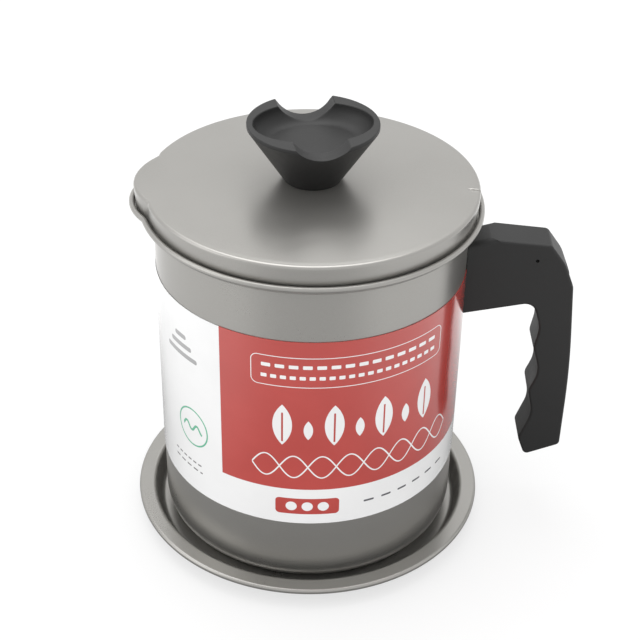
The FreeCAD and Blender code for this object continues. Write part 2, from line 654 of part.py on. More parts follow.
def handle_strap():
    """Steel strap spot-welded to the pot: two feet on the wall and a raised step for the screw."""
    foot_x = POT_RADIUS - SHEET
    inner_half = STRAP_STEP_HALF_HEIGHT - STRAP_SHEET
    foot_half = STRAP_HALF_HEIGHT
    step_half = STRAP_STEP_HALF_HEIGHT
    strap = block(
        (foot_x, POT_RADIUS + STRAP_SHEET), STRAP_WIDTH / 2, (SCREW_Z - foot_half, SCREW_Z + foot_half))
    strap = strap.fuse(block(
        (foot_x, SOCKET_FLOOR_X), STRAP_WIDTH / 2, (SCREW_Z - step_half, SCREW_Z + step_half)))
    hollow = block((foot_x, WEB_X), STRAP_WIDTH, (SCREW_Z - inner_half, SCREW_Z + inner_half))
    wall = upright(POT_RADIUS + STRAP_WELD_GAP, 0, RIM_TOP_Z)
    hole = along_screw(SCREW_RADIUS + SCREW_HOLE_PLAY, foot_x, SOCKET_FLOOR_X)
    return strap.removeSplitter().cut([hollow, wall, hole])


def handle_nut():
    """Square nut held inside the strap's step."""
    nut_x = WEB_X - NUT_THICKNESS
    nut = block((nut_x, WEB_X), NUT_SIZE / 2, (SCREW_Z - NUT_SIZE / 2, SCREW_Z + NUT_SIZE / 2))
    return nut.cut(along_screw(SCREW_RADIUS + THREAD_PLAY, nut_x, WEB_X))


def handle_washer():
    """Washer on the floor of the handle's screw pocket."""
    disc = along_screw(WASHER_RADIUS, POCKET_FLOOR_X, POCKET_FLOOR_X + WASHER_THICKNESS)
    hole = along_screw(SCREW_RADIUS + SCREW_HOLE_PLAY, POCKET_FLOOR_X, POCKET_FLOOR_X + WASHER_THICKNESS)
    return disc.cut(hole)


def handle_screw():
    """Long pan-head screw from the shoulder's pocket, through the arm and strap, into the nut."""
    seat_x = POCKET_FLOOR_X + WASHER_THICKNESS
    end_x = WEB_X - NUT_THICKNESS
    screw = pan_head_screw(seat_x - end_x)
    screw.rotate(CENTRE, ACROSS, -90)
    return screw.translate(in_section(seat_x, SCREW_Z))


# ---------------------------------------------------------------- output
NODES = {
    "drip_tray": drip_tray,
    "pot_body": pot_body,
    "label_wrap": label_wrap,
    "handle_strap": handle_strap,
    "handle_nut": handle_nut,
    "handle_grip": handle_grip,
    "handle_washer": handle_washer,
    "handle_screw": handle_screw,
    "strainer_collar": strainer_collar,
    "strainer_mesh": strainer_mesh,
    "strainer_clamp_ring": strainer_clamp_ring,
    "strainer_lift_tabs": strainer_lift_tabs,
    "lid_plate": lid_plate,
    "lid_knob": lid_knob,
    "knob_insert": knob_insert,
    "knob_washer": knob_washer,
    "knob_screw": knob_screw,
}

os.makedirs("parts", exist_ok=True)
for name, make in NODES.items():
    shape = make()
    shape.exportStep("parts/" + name + ".step")
    box = shape.BoundBox
    print(name, "valid", shape.isValid(), "solids", len(shape.Solids), "volume", round(shape.Volume, 1),
          "x", round(box.XMin, 2), round(box.XMax, 2), "z", round(box.ZMin, 2), round(box.ZMax, 2))
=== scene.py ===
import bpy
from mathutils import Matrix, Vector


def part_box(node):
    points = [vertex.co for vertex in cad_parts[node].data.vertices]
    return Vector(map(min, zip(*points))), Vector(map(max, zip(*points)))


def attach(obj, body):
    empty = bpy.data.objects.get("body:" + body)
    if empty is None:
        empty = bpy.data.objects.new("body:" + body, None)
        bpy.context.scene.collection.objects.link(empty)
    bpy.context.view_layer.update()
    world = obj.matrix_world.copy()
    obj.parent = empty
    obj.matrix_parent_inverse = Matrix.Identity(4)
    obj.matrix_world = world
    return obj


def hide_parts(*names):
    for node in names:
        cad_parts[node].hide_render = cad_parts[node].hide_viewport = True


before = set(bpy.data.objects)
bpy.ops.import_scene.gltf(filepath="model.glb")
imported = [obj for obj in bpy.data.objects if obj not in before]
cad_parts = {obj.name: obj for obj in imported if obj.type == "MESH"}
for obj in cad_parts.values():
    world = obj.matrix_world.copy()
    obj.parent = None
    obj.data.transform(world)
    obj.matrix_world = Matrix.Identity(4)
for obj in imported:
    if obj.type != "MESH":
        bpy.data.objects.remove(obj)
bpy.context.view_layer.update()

import math
from functools import partialmethod, reduce

import bpy
import numpy as np
from mathutils import Matrix, Vector

# Grease pot with strainer, lid and drip tray: metres, +Z up, handle along +X, spout along -X.
MM = 0.001

# ---------------- sizes of the pressed shells
SHEET = 0.8 * MM
POT_RADIUS = 58.5 * MM
POT_INSIDE = POT_RADIUS - SHEET
POT_CORNER_RADIUS = 10.0 * MM
RIM_INSIDE = POT_RADIUS + 3.0 * MM
BEAD_RADIUS = 1.05 * MM
BEAD_PATH = RIM_INSIDE + BEAD_RADIUS
SEAT_DEPTH = 2.4 * MM
SEAT_EDGE_RADIUS = 0.7 * MM
SEAT_NECK_RADIUS = 0.9 * MM
BORE_EDGE_RADIUS = 0.3 * MM

SPOUT_REACH = 3.85 * MM
SPOUT_HALF_ANGLE = math.radians(17.5)
SPOUT_NECK_RADIUS = 9.0 * MM

TRAY_FOOT = POT_RADIUS + 2.7 * MM
TRAY_HEAD = TRAY_FOOT + 2.1 * MM
TRAY_BEAD_PATH = TRAY_HEAD + 5.65 * MM
TRAY_BEAD_RADIUS = 1.15 * MM
TRAY_CORNER_RADIUS = 2.2 * MM
TRAY_BRIM_CORNER = 1.0 * MM

LID_SHEET = 0.7 * MM
LID_SKIRT = RIM_INSIDE - 0.5 * MM
LID_FLARE = 0.7 * MM
LID_CROWN = 1.2 * MM
LID_EDGE_RADIUS = 1.2 * MM
LID_HEM_RADIUS = 0.25 * MM
LID_HOLE_RADIUS = 2.8 * MM

KNOB_FOOT_RADIUS = 10.5 * MM
KNOB_FOOT_ROUNDING = 0.4 * MM
KNOB_CONE_START = 0.7 * MM       # past the foot's rounding
KNOB_RIM_RADIUS = 24.0 * MM
KNOB_BAND_HEIGHT = 1.4 * MM
KNOB_LIP = 2.2 * MM
KNOB_DISH_DEPTH = 6.9 * MM
KNOB_DISH_DRAFT = 1.2 * MM
KNOB_DISH_CORNER_RADIUS = 6.8 * MM
KNOB_DISH_NARROWING = 0.766
KNOB_SCOOP_RADIUS = 12.25 * MM
KNOB_SCOOP_DEPTH = 5.5 * MM
KNOB_SCOOP_LEAN = math.radians(2.3)
KNOB_SCOOP_TURN = math.radians(10.0)
KNOB_RIM_ROUNDING = 0.5 * MM
KNOB_LIP_ROUNDING = 0.5 * MM
KNOB_EDGE_SOFTNESS = 0.3 * MM
INSERT_RADIUS = 3.5 * MM
INSERT_LENGTH = 9.0 * MM

MESH_TOP_RADIUS = 53.95 * MM
MESH_TAPER = 6.5 * MM
MESH_CORNER_RADIUS = 8.0 * MM
MESH_THICKNESS = 0.5 * MM
MESH_PITCH = 0.9 * MM            # from wire to wire
CLAMP_HEIGHT = 6.0 * MM

LABEL_GLUE = 0.1 * MM            # air and glue between the wall and the wrap
LABEL_THICKNESS = 0.2 * MM
LABEL_OPENING = 17.0 * MM        # left open behind the handle

# ---------------- places read from the solids
POT_LOW, POT_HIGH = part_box("pot_body")
TRAY_LOW, TRAY_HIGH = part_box("drip_tray")
LABEL_LOW, LABEL_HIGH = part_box("label_wrap")
LID_LOW, LID_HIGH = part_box("lid_plate")
KNOB_LOW, KNOB_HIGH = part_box("lid_knob")
MESH_LOW, MESH_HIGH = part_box("strainer_mesh")
HANDLE_LOW, HANDLE_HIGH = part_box("handle_grip")
POT_BASE_Z = POT_LOW.z
RIM_TOP_Z = POT_HIGH.z
SEAT_Z = RIM_TOP_Z - SEAT_DEPTH
BEAD_Z = RIM_TOP_Z - BEAD_RADIUS
TRAY_HEIGHT = TRAY_HIGH.z
LID_FOOT_Z = LID_LOW.z
LID_APEX_Z = KNOB_LOW.z
LID_TOP_Z = LID_APEX_Z - LID_CROWN
KNOB_TOP_Z = KNOB_HIGH.z
KNOB_BAND_Z = KNOB_TOP_Z - KNOB_BAND_HEIGHT
KNOB_STEEPNESS = (KNOB_BAND_Z - LID_APEX_Z) / (KNOB_RIM_RADIUS - KNOB_FOOT_RADIUS)
LABEL_INSIDE = POT_RADIUS + LABEL_GLUE
LABEL_OUTSIDE = LABEL_INSIDE + LABEL_THICKNESS
LABEL_HALF_OPENING = math.asin(LABEL_OPENING / 2 / LABEL_INSIDE)
FRONT = 1.5 * math.pi            # angle about the axis of the side that faces -Y

# ---------------- grids and profiles
ARC_STEPS = 7                    # facets in each rounding
CURL_POINTS = 30                 # round a rolled edge
GUARD = 0.12 * MM                # rows this near to a rounding keep the flat stretches flat
RIM_COLUMNS = 400                # round the main circle
NECK_COLUMNS = 18
NOSE_COLUMNS = 44
TRAY_COLUMNS = 540
KNOB_COLUMNS = 640
LABEL_COLUMNS = 500
MESH_COLUMNS = 240
POLE_SIZE = 1e-9                 # a row smaller than this is one point
SHARP_ANGLE = math.radians(40)


def unit(vector):
    """The vector divided by its length."""
    return vector / np.linalg.norm(vector)


def unit_rows(points):
    """Each row of the array divided by its length."""
    return points / np.linalg.norm(points, axis=1)[:, None]


def rounded_path(corners, steps=ARC_STEPS):
    """Line through (r, z, rounding) corners.

    Each rounding is an arc tangent to both sides, with a guard row before and after it.
    """
    rows = []
    for index, (r, z, rounding) in enumerate(corners):
        here = np.array([r, z])
        if rounding == 0:
            rows.append(here[None])
            continue
        back = unit(np.array(corners[index - 1][:2]) - here)
        ahead = unit(np.array(corners[index + 1][:2]) - here)
        half = math.acos(np.clip(back @ ahead, -1, 1)) / 2
        reach = rounding / math.tan(half)
        centre = here + unit(back + ahead) * rounding / math.sin(half)
        turn = math.pi - 2 * half
        share = np.linspace(0, 1, steps + 1)[:, None]
        start = here + back * reach - centre
        end = here + ahead * reach - centre
        arc = (np.sin((1 - share) * turn) * start + np.sin(share * turn) * end) / math.sin(turn)
        rows.append((here + back * (reach + GUARD))[None])
        rows.append(centre + arc)
        rows.append((here + ahead * (reach + GUARD))[None])
    return np.concatenate(rows)


def rolled_edge(centre, radius, start, end):
    """Arc about a centre in the (r, z) plane, from one angle in degrees to another."""
    angle = np.radians(np.linspace(start, end, CURL_POINTS))[:, None]
    return np.array(centre) + radius * np.concatenate([np.cos(angle), np.sin(angle)], axis=1)


def rim_line(extra=()):
    """Bead's centre line seen from above, as points and outward normals.

    A circle about the axis, an inward neck arc, the spout's nose arc at -X and the other neck, all
    tangent. The nose's radius follows from the neck circles, which touch both the circle and the nose.
    extra holds further angles on the circle, where a detail needs closer columns.
    """
    reach = BEAD_PATH + SPOUT_NECK_RADIUS
    tip = BEAD_PATH + SPOUT_REACH
    across = reach * math.cos(SPOUT_HALF_ANGLE)
    nose_radius = reach ** 2 + tip ** 2 - 2 * across * tip - SPOUT_NECK_RADIUS ** 2
    nose_radius = nose_radius / (2 * (tip + SPOUT_NECK_RADIUS - across))
    nose = np.array([nose_radius - tip, 0.0])
    neck = np.array([-across, reach * math.sin(SPOUT_HALF_ANGLE)])
    end = math.pi - SPOUT_HALF_ANGLE
    main = np.unique(np.concatenate([np.linspace(-end, end, RIM_COLUMNS), np.array(extra, float)]))
    main_normals = np.stack([np.cos(main), np.sin(main)], axis=1)
    to_axis = math.atan2(-neck[1], -neck[0])
    to_nose = math.atan2(*(nose - neck)[::-1])
    swing = (to_nose - to_axis + math.pi) % (2 * math.pi) - math.pi
    turn = to_axis + swing * np.linspace(0, 1, NECK_COLUMNS)[1:-1]
    inward = np.stack([np.cos(turn), np.sin(turn)], axis=1)
    nose_start = to_nose + math.pi
    nose_turn = np.linspace(nose_start, 2 * math.pi - nose_start, NOSE_COLUMNS)
    nose_normals = np.stack([np.cos(nose_turn), np.sin(nose_turn)], axis=1)
    mirror = np.array([1.0, -1.0])
    points = np.concatenate([
        BEAD_PATH * main_normals,
        neck + SPOUT_NECK_RADIUS * inward,
        nose + nose_radius * nose_normals,
        ((neck + SPOUT_NECK_RADIUS * inward) * mirror)[::-1],
    ])
    normals = np.concatenate([main_normals, -inward, nose_normals, (-inward * mirror)[::-1]])
    return points, normals


def turned_rings(profile, angles):
    """Rings about the axis: each (r, z) row of the profile at every angle."""
    r = profile[:, 0, None]
    z = np.broadcast_to(profile[:, 1, None], (len(profile), len(angles)))
    return np.stack([r * np.cos(angles), r * np.sin(angles), z], axis=2)


def rim_rings(profile, line):
    """Rings parallel to the rim line: a row's r is its radius on the main circle."""
    points, normals = line
    offset = (profile[:, 0] - BEAD_PATH)[:, None, None]
    flat = points + offset * normals
    z = np.broadcast_to(profile[:, 1, None, None], flat.shape[:2] + (1,))
    return np.concatenate([flat, z], axis=2)


def grid_faces(index, wrap_rows, wrap_columns):
    """Quads of a grid of vertex numbers, and the row and column of each quad's first corner.

    Going along the columns and then along the rows turns anticlockwise as seen from outside.
    """
    rows, columns = index.shape
    row = np.arange(rows if wrap_rows else rows - 1)[:, None]
    column = np.arange(columns if wrap_columns else columns - 1)[None, :]
    next_row = (row + 1) % rows
    next_column = (column + 1) % columns
    quads = np.stack([
        index[row, column], index[row, next_column],
        index[next_row, next_column], index[next_row, column],
    ], axis=2)
    places = np.stack(np.broadcast_arrays(row, column), axis=2)
    return quads.reshape(-1, 4), places.reshape(-1, 2)


def end_faces(index):
    """Quads that close both ends of a band whose rows go up its outside and down its inside."""
    outer = np.arange(len(index) // 2 - 1)
    inner = len(index) - 1 - outer
    first = [index[outer, 0], index[outer + 1, 0], index[inner - 1, 0], index[inner, 0]]
    last = [index[outer, -1], index[inner, -1], index[inner - 1, -1], index[outer + 1, -1]]
    return np.concatenate([np.stack(first, axis=1), np.stack(last, axis=1)])


def corner_uv(places, uv, count):
    """(u, v) of each quad's corners, from the grid's lines. Faces that close an end get (0, 0)."""
    u_line, v_line = uv
    corner = places[:, None, :] + np.array([[0, 0], [0, 1], [1, 1], [1, 0]])
    pairs = np.zeros((count, 4, 2))
    pairs[:len(places), :, 0] = u_line[corner[:, :, 1]]
    pairs[:len(places), :, 1] = v_line[corner[:, :, 0] % len(v_line)]
    return pairs


def surface(name, rings, wrap_rows=False, wrap_columns=True, end_caps=False, uv=None):
    """Mesh object on a grid of points.

    A row whose points coincide becomes one pole. uv gives each column's u and each row's v, in metres.
    """
    rows, columns = rings.shape[:2]
    index = np.arange(rows * columns).reshape(rows, columns)
    poles = np.ptp(rings, axis=1).max(axis=1) < POLE_SIZE
    index[poles] = index[poles][:, :1]
    quads, places = grid_faces(index, wrap_rows, wrap_columns)
    if end_caps:
        quads = np.concatenate([quads, end_faces(index)])
    used, numbers = np.unique(quads, return_inverse=True)
    numbers = numbers.reshape(quads.shape)
    keep = np.stack([numbers[:, side] != numbers[:, side - 1] for side in range(4)], axis=1)
    sizes = keep.sum(axis=1)
    mesh = bpy.data.meshes.new(name)
    mesh.vertices.add(len(used))
    mesh.vertices.foreach_set("co", rings.reshape(-1, 3)[used].astype(np.float32).ravel())
    corners = numbers[keep]
    mesh.loops.add(len(corners))
    mesh.loops.foreach_set("vertex_index", corners.astype(np.int32))
    mesh.polygons.add(len(quads))
    starts = np.concatenate([[0], np.cumsum(sizes)[:-1]])
    mesh.polygons.foreach_set("loop_start", starts.astype(np.int32))
    mesh.update(calc_edges=True)
    if uv is not None:
        layer = mesh.uv_layers.new(name="print")
        pairs = corner_uv(places, uv, len(quads))[keep]
        layer.data.foreach_set("uv", pairs.astype(np.float32).ravel())
    mesh.shade_smooth()
    mesh.set_sharp_from_angle(angle=SHARP_ANGLE)
    made = bpy.data.objects.new(name, mesh)
    bpy.context.scene.collection.objects.link(made)
    return made


# ---------------- pot
def make_pot():
    """Drawn pot: turned outside, a rim that follows the spout, and a turned bore."""
    line = rim_line()
    angles = np.arctan2(line[0][:, 1], line[0][:, 0])
    seat_under = SEAT_Z - SHEET
    outside = rounded_path([
        (0, POT_BASE_Z, 0),
        (POT_RADIUS, POT_BASE_Z, POT_CORNER_RADIUS),
        (POT_RADIUS, seat_under, SEAT_NECK_RADIUS),
        (POT_RADIUS + 1.5 * SEAT_NECK_RADIUS, seat_under, 0),
    ])
    rim_wall = RIM_INSIDE + SHEET
    curl_start = math.degrees(math.acos((rim_wall - BEAD_PATH) / BEAD_RADIUS))
    rim = np.concatenate([
        rounded_path([
            (rim_wall - 2 * SEAT_EDGE_RADIUS, seat_under, 0),
            (rim_wall, seat_under, SEAT_EDGE_RADIUS),
            (rim_wall, BEAD_Z - BEAD_RADIUS * math.sin(math.radians(curl_start)) - GUARD, 0),
        ]),
        rolled_edge((BEAD_PATH, BEAD_Z), BEAD_RADIUS, -curl_start, 180),
        np.array([[RIM_INSIDE, SEAT_Z + GUARD], [RIM_INSIDE, SEAT_Z], [RIM_INSIDE - GUARD, SEAT_Z]]),
    ])
    bore = rounded_path([
        (POT_INSIDE + 2 * SHEET, SEAT_Z, 0),
        (POT_INSIDE, SEAT_Z, BORE_EDGE_RADIUS),
        (POT_INSIDE, POT_BASE_Z + SHEET, POT_CORNER_RADIUS - SHEET),
        (0, POT_BASE_Z + SHEET, 0),
    ])
    rings = [turned_rings(outside, angles), rim_rings(rim, line), turned_rings(bore, angles)]
    return surface("pot_shell", np.concatenate(rings))


# ---------------- drip tray
WRINKLE_DEPTH = 0.10 * MM
WRINKLE_BAND = 1.6 * MM          # from the wall's middle to where the wrinkles fade
WRINKLES = 57                    # even wrinkles round the tray
WRINKLE_BEATS = (23, 31)         # uneven ones: the product of two waves
WRINKLE_BEAT_SHARE = 0.7
WRINKLE_BEAT_SHIFT = 1.0


def wrinkled(rings, angles):
    """Tray's rings with its wall moved in and out by drawing wrinkles.

    A wrinkle is an even wave round the tray plus the product of two others. It is deepest halfway up
    the wall, fades to floor and brim as height * (1 - height), and away from the wall as a bell curve.
    """
    radius = np.linalg.norm(rings[:, :, :2], axis=2)
    rise = rings[:, :, 2] / TRAY_HEIGHT
    wall = np.exp(-((radius - (TRAY_FOOT + TRAY_HEAD) / 2) / WRINKLE_BAND) ** 2)
    wall = wall * np.clip(rise, 0, 1) * (1 - rise) * 4
    first, second = WRINKLE_BEATS
    beat = np.sin(first * angles + WRINKLE_BEAT_SHIFT) * np.sin(second * angles)
    push = WRINKLE_DEPTH * wall * (np.sin(WRINKLES * angles) + WRINKLE_BEAT_SHARE * beat)
    return rings + np.stack([push * np.cos(angles), push * np.sin(angles), 0 * push], axis=2)


def make_tray():
    """Pressed tray: turned profile of its underside, its rolled edge and its upper side."""
    under_brim = TRAY_HEIGHT - SHEET
    flare = TRAY_HEAD - TRAY_FOOT
    shift = SHEET * math.hypot(flare, under_brim) / under_brim
    bead_z = TRAY_HEIGHT - TRAY_BEAD_RADIUS
    curl_start = -180 + math.degrees(math.asin((bead_z - under_brim) / -TRAY_BEAD_RADIUS))
    under = rounded_path([
        (0, 0, 0),
        (TRAY_FOOT + shift, 0, TRAY_CORNER_RADIUS + SHEET),
        (TRAY_HEAD + shift, under_brim, TRAY_BRIM_CORNER),
        (TRAY_BEAD_PATH - 1.1 * TRAY_BEAD_RADIUS, under_brim, 0),
    ])
    curl = rolled_edge((TRAY_BEAD_PATH, bead_z), TRAY_BEAD_RADIUS, curl_start, 90)
    top = rounded_path([
        (TRAY_BEAD_PATH - GUARD, TRAY_HEIGHT, 0),
        (TRAY_HEAD, TRAY_HEIGHT, TRAY_BRIM_CORNER + SHEET),
        (TRAY_FOOT, SHEET, TRAY_CORNER_RADIUS),
        (0, SHEET, 0),
    ])
    angles = np.linspace(-math.pi, math.pi, TRAY_COLUMNS, endpoint=False)
    rings = turned_rings(np.concatenate([under, curl, top]), angles)
    return surface("tray_shell", wrinkled(rings, angles))


# ---------------- lid
SKIRT_ROWS = 4
CROWN_SHARES = (0.004, *np.linspace(0.012, 0.16, 18), *np.linspace(0.2, 1, 12))  # of the way to the hole
CROWN_EASE = 0.025               # share of that way over which the rounding runs into the crown
NICK_ANGLE = math.radians(-5.5)  # short radial nick in the lid's edge, near the handle
NICK_LENGTH = 4.2 * MM
NICK_WIDTH = 0.45 * MM
NICK_DEPTH = 0.75 * MM
NICK_BURR = 0.10 * MM            # raised line along each side of the nick
NICK_BURR_PLACE = 1.9            # widths of the nick from its middle
NICK_SPAN = 2.5                  # degrees on each side with closer columns
NICK_COLUMNS = 34
PLEAT_DEPTH = 0.55 * MM          # soft pleat where the skirt turns into the spout
PLEAT_OUTSET = 0.3 * MM
PLEAT_DROP = 0.6 * MM
PLEAT_SIZE = (1.3 * MM, 1.3 * MM, 2.4 * MM)


def crown_z(xy, apex):
    """Height of the lid's crowned top: a sphere through the apex that falls by the crown at the edge."""
    radius = LID_SKIRT + LID_FLARE
    sphere = (radius ** 2 + LID_CROWN ** 2) / (2 * LID_CROWN)
    return apex - sphere + np.sqrt(sphere ** 2 - np.sum(xy ** 2, axis=-1))


def lid_rings(line, skirt, apex, edge_radius):
    """Rows of one face of the lid: up the leaning skirt, round the edge and over the crown."""
    points, normals = line
    lean = LID_FLARE / (LID_TOP_Z - LID_FOOT_Z)
    edge_z = crown_z(points + (skirt + LID_FLARE - BEAD_PATH) * normals, apex)
    rows = []
    for z in np.linspace(LID_FOOT_Z, LID_TOP_Z - 2 * LID_EDGE_RADIUS, SKIRT_ROWS):
        offset = skirt + (z - LID_FOOT_Z) * lean - BEAD_PATH
        rows.append(np.column_stack([points + offset * normals, np.full(len(points), z)]))
    centre_offset = skirt + (LID_TOP_Z - LID_FOOT_Z - edge_radius) * lean - edge_radius - BEAD_PATH
    for angle in np.linspace(-math.atan(lean), math.pi / 2, ARC_STEPS * 2):
        offset = centre_offset + edge_radius * math.cos(angle)
        z = edge_z - edge_radius * (1 - math.sin(angle))
        rows.append(np.column_stack([points + offset * normals, z]))
    edge = points + centre_offset * normals
    hole = unit_rows(edge) * LID_HOLE_RADIUS
    for share in CROWN_SHARES:
        flat = edge + (hole - edge) * share
        ease = max(1 - share / CROWN_EASE, 0)
        rows.append(np.column_stack([flat, crown_z(flat, apex) * (1 - ease) + rows[-1][:, 2] * ease]))
    return np.stack(rows)


def nicked(rings):
    """Lid's grid with its nick: a groove along a radius, bell-shaped across, with a burr each side."""
    along = np.array([math.cos(NICK_ANGLE), math.sin(NICK_ANGLE), 0])
    across = np.array([-math.sin(NICK_ANGLE), math.cos(NICK_ANGLE), 0])
    middle = along * (LID_SKIRT + LID_FLARE - NICK_LENGTH / 2) + np.array([0, 0, LID_TOP_Z])
    relative = rings - middle
    reach = np.exp(-((relative @ along) / (NICK_LENGTH / 2)) ** 4)
    side = (relative @ across) / NICK_WIDTH
    groove = NICK_DEPTH * np.exp(-side ** 2)
    burr = NICK_BURR * np.exp(-(np.abs(side) - NICK_BURR_PLACE) ** 2)
    return rings + (reach * (burr - groove))[:, :, None] * np.array([0, 0, 1])


def pleated(rings):
    """Lid's grid with a pleat on each side of the spout.

    Points near it move in and half as far down, fading with distance as a bell curve.
    """
    for turn in (math.pi - SPOUT_HALF_ANGLE, SPOUT_HALF_ANGLE - math.pi):
        outward = np.array([math.cos(turn), math.sin(turn), 0])
        place = (LID_SKIRT + LID_FLARE + PLEAT_OUTSET) * outward
        place[2] = LID_TOP_Z - PLEAT_DROP
        distance = np.linalg.norm((rings - place) / np.array(PLEAT_SIZE), axis=2)
        push = -PLEAT_DEPTH * (outward + np.array([0, 0, 0.5]))
        rings = rings + np.exp(-distance ** 2)[:, :, None] * push
    return rings


def make_lid():
    """Pressed lid: leaning skirt with a hem, rounded edge and crowned top, and its inner face."""
    line = rim_line(np.radians(np.linspace(-NICK_SPAN, NICK_SPAN, NICK_COLUMNS)) + NICK_ANGLE)
    outer = lid_rings(line, LID_SKIRT, LID_APEX_Z, LID_EDGE_RADIUS)
    inner = lid_rings(line, LID_SKIRT - LID_SHEET, LID_APEX_Z - LID_SHEET, LID_EDGE_RADIUS - LID_SHEET)
    hem = outer[:1] + np.array([0, 0, LID_HEM_RADIUS])
    outer[0, :, :2] -= LID_HEM_RADIUS * line[1]
    rings = np.concatenate([outer[:1], hem, outer[1:], inner[::-1]])
    return surface("lid_shell", pleated(nicked(rings)), wrap_rows=True)


# ---------------- knob
CONE_ROWS = 20
RIM_ROWS = 9
LIP_ROWS = 25
DISH_STEPS = 20                  # facets in each rounding of the dish
DISH_FLOOR_ROWS = 10
HALVINGS = 40                    # of the span that holds the height where the side meets the top


def soft_min(first, second, softness):
    """Smaller of two heights, with the ridge between them rounded over the softness."""
    mix = np.clip(0.5 + 0.5 * (second - first) / softness, 0, 1)
    return second * (1 - mix) + first * mix - softness * mix * (1 - mix)


def knob_frame(x, y):
    """Distances across and along the scoops' line."""
    across = x * math.cos(KNOB_SCOOP_TURN) + y * math.sin(KNOB_SCOOP_TURN)
    along = y * math.cos(KNOB_SCOOP_TURN) - x * math.sin(KNOB_SCOOP_TURN)
    return across, along


def dish_line():
    """Half section of the dish at its widest: floor, rounded corner, leaning wall and flat lip."""
    floor = KNOB_TOP_Z - KNOB_DISH_DEPTH
    edge = KNOB_RIM_RADIUS - KNOB_LIP
    return rounded_path([
        (0, floor, 0),
        (edge - KNOB_DISH_DRAFT, floor, KNOB_DISH_CORNER_RADIUS),
        (edge, KNOB_TOP_Z, KNOB_LIP_ROUNDING),
        (2 * KNOB_RIM_RADIUS, KNOB_TOP_Z, 0),
    ], DISH_STEPS)


def knob_top(x, y):
    """Height of the knob's top: the lower of its lipped oval dish and the leaning scoop cylinder.

    The dish is a turned one narrowed along the scoops, so its section is read at the distance
    sqrt(across^2 + (along / narrowing)^2).
    """
    across, along = knob_frame(x, y)
    line = dish_line()
    dish = np.interp(np.hypot(across, along / KNOB_DISH_NARROWING), line[:, 0], line[:, 1])
    depth = np.sqrt(np.clip(KNOB_SCOOP_RADIUS ** 2 - across ** 2, 0, None))
    scoop = KNOB_TOP_Z - KNOB_SCOOP_DEPTH + KNOB_SCOOP_RADIUS - depth - math.tan(KNOB_SCOOP_LEAN) * along
    return soft_min(dish, scoop, KNOB_EDGE_SOFTNESS)


def knob_side_row(ways, z):
    """Row on the knob's cone or on the band above it, from each column's way out and height."""
    r = np.minimum(KNOB_FOOT_RADIUS + (z - LID_APEX_Z) / KNOB_STEEPNESS, KNOB_RIM_RADIUS)
    return np.column_stack([r[:, None] * ways, z])


def knob_top_row(ways, r):
    """Row on the knob's top, from each column's way out and distance from the axis."""
    flat = r[:, None] * ways
    return np.column_stack([flat, knob_top(flat[:, 0], flat[:, 1])])


def knob_meeting_row(ways):
    """Row where the knob's side meets its top, found by halving the span that holds each height."""
    low = np.full(len(ways), LID_APEX_Z)
    high = np.full(len(ways), KNOB_TOP_Z)
    for _ in range(HALVINGS):
        middle = (low + high) / 2
        place = knob_side_row(ways, middle)
        above = middle > knob_top(place[:, 0], place[:, 1])
        high = np.where(above, middle, high)
        low = np.where(above, low, middle)
    return knob_side_row(ways, low)


def make_knob():
    """Moulded knob: socket, foot, cone and upright band, then its rim and top.

    The rim is a quadratic curve from side to top, whose control point is where they meet. The top's
    rows run over the lip to the dish and then follow the oval dish inwards.
    """
    angles = np.linspace(-math.pi, math.pi, KNOB_COLUMNS, endpoint=False)
    ways = np.stack([np.cos(angles), np.sin(angles)], axis=1)
    corner = knob_meeting_row(ways)
    side_end = corner[:, 2] - KNOB_RIM_ROUNDING
    top_start = np.hypot(corner[:, 0], corner[:, 1]) - KNOB_RIM_ROUNDING
    socket = rounded_path([
        (0, LID_APEX_Z + INSERT_LENGTH, 0),
        (INSERT_RADIUS, LID_APEX_Z + INSERT_LENGTH, 0),
        (INSERT_RADIUS, LID_APEX_Z, 0),
        (KNOB_FOOT_RADIUS, LID_APEX_Z, KNOB_FOOT_ROUNDING),
        (KNOB_FOOT_RADIUS + MM, LID_APEX_Z + MM * KNOB_STEEPNESS, 0),
    ])[:-1]
    rows = list(turned_rings(socket, angles))
    cone_start = LID_APEX_Z + KNOB_CONE_START
    bend = np.minimum(KNOB_BAND_Z, side_end - 3 * GUARD)
    for share in np.linspace(0, 1, CONE_ROWS)[:-1]:
        rows.append(knob_side_row(ways, cone_start + (bend - GUARD - cone_start) * share))
    for z in (bend - GUARD, bend, bend + GUARD):
        rows.append(knob_side_row(ways, z))
    start, end = knob_side_row(ways, side_end), knob_top_row(ways, top_start)
    for share in np.linspace(0, 1, RIM_ROWS):
        rows.append(start * (1 - share) ** 2 + corner * 2 * share * (1 - share) + end * share ** 2)
    across, along = knob_frame(ways[:, 0], ways[:, 1])
    scale = np.hypot(across, along / KNOB_DISH_NARROWING)
    section = dish_line()[:, 0]
    dish_rim, floor_edge = section[-2] / scale, section[1] / scale
    for share in np.linspace(0, 1, LIP_ROWS)[1:-1]:
        rows.append(knob_top_row(ways, top_start + (dish_rim - top_start) * share))
    for distance in section[-2:0:-1]:
        rows.append(knob_top_row(ways, distance / scale))
    for share in np.linspace(0, 1, DISH_FLOOR_ROWS)[1:]:
        rows.append(knob_top_row(ways, floor_edge * (1 - share)))
    return surface("knob_shell", np.stack(rows))


# ---------------- printed wrap
LABEL_ROWS = 42
RIPPLE_DEPTH = 0.035 * MM
RIPPLES = 9                      # round the pot
RIPPLE_SLANT = 3.0               # radians by which a ripple shifts from foot to top
RIPPLE_BEAT = 2.3                # slower wave round the pot, between strong ripples and none
RIPPLE_BEAT_SHIFT = 1.0


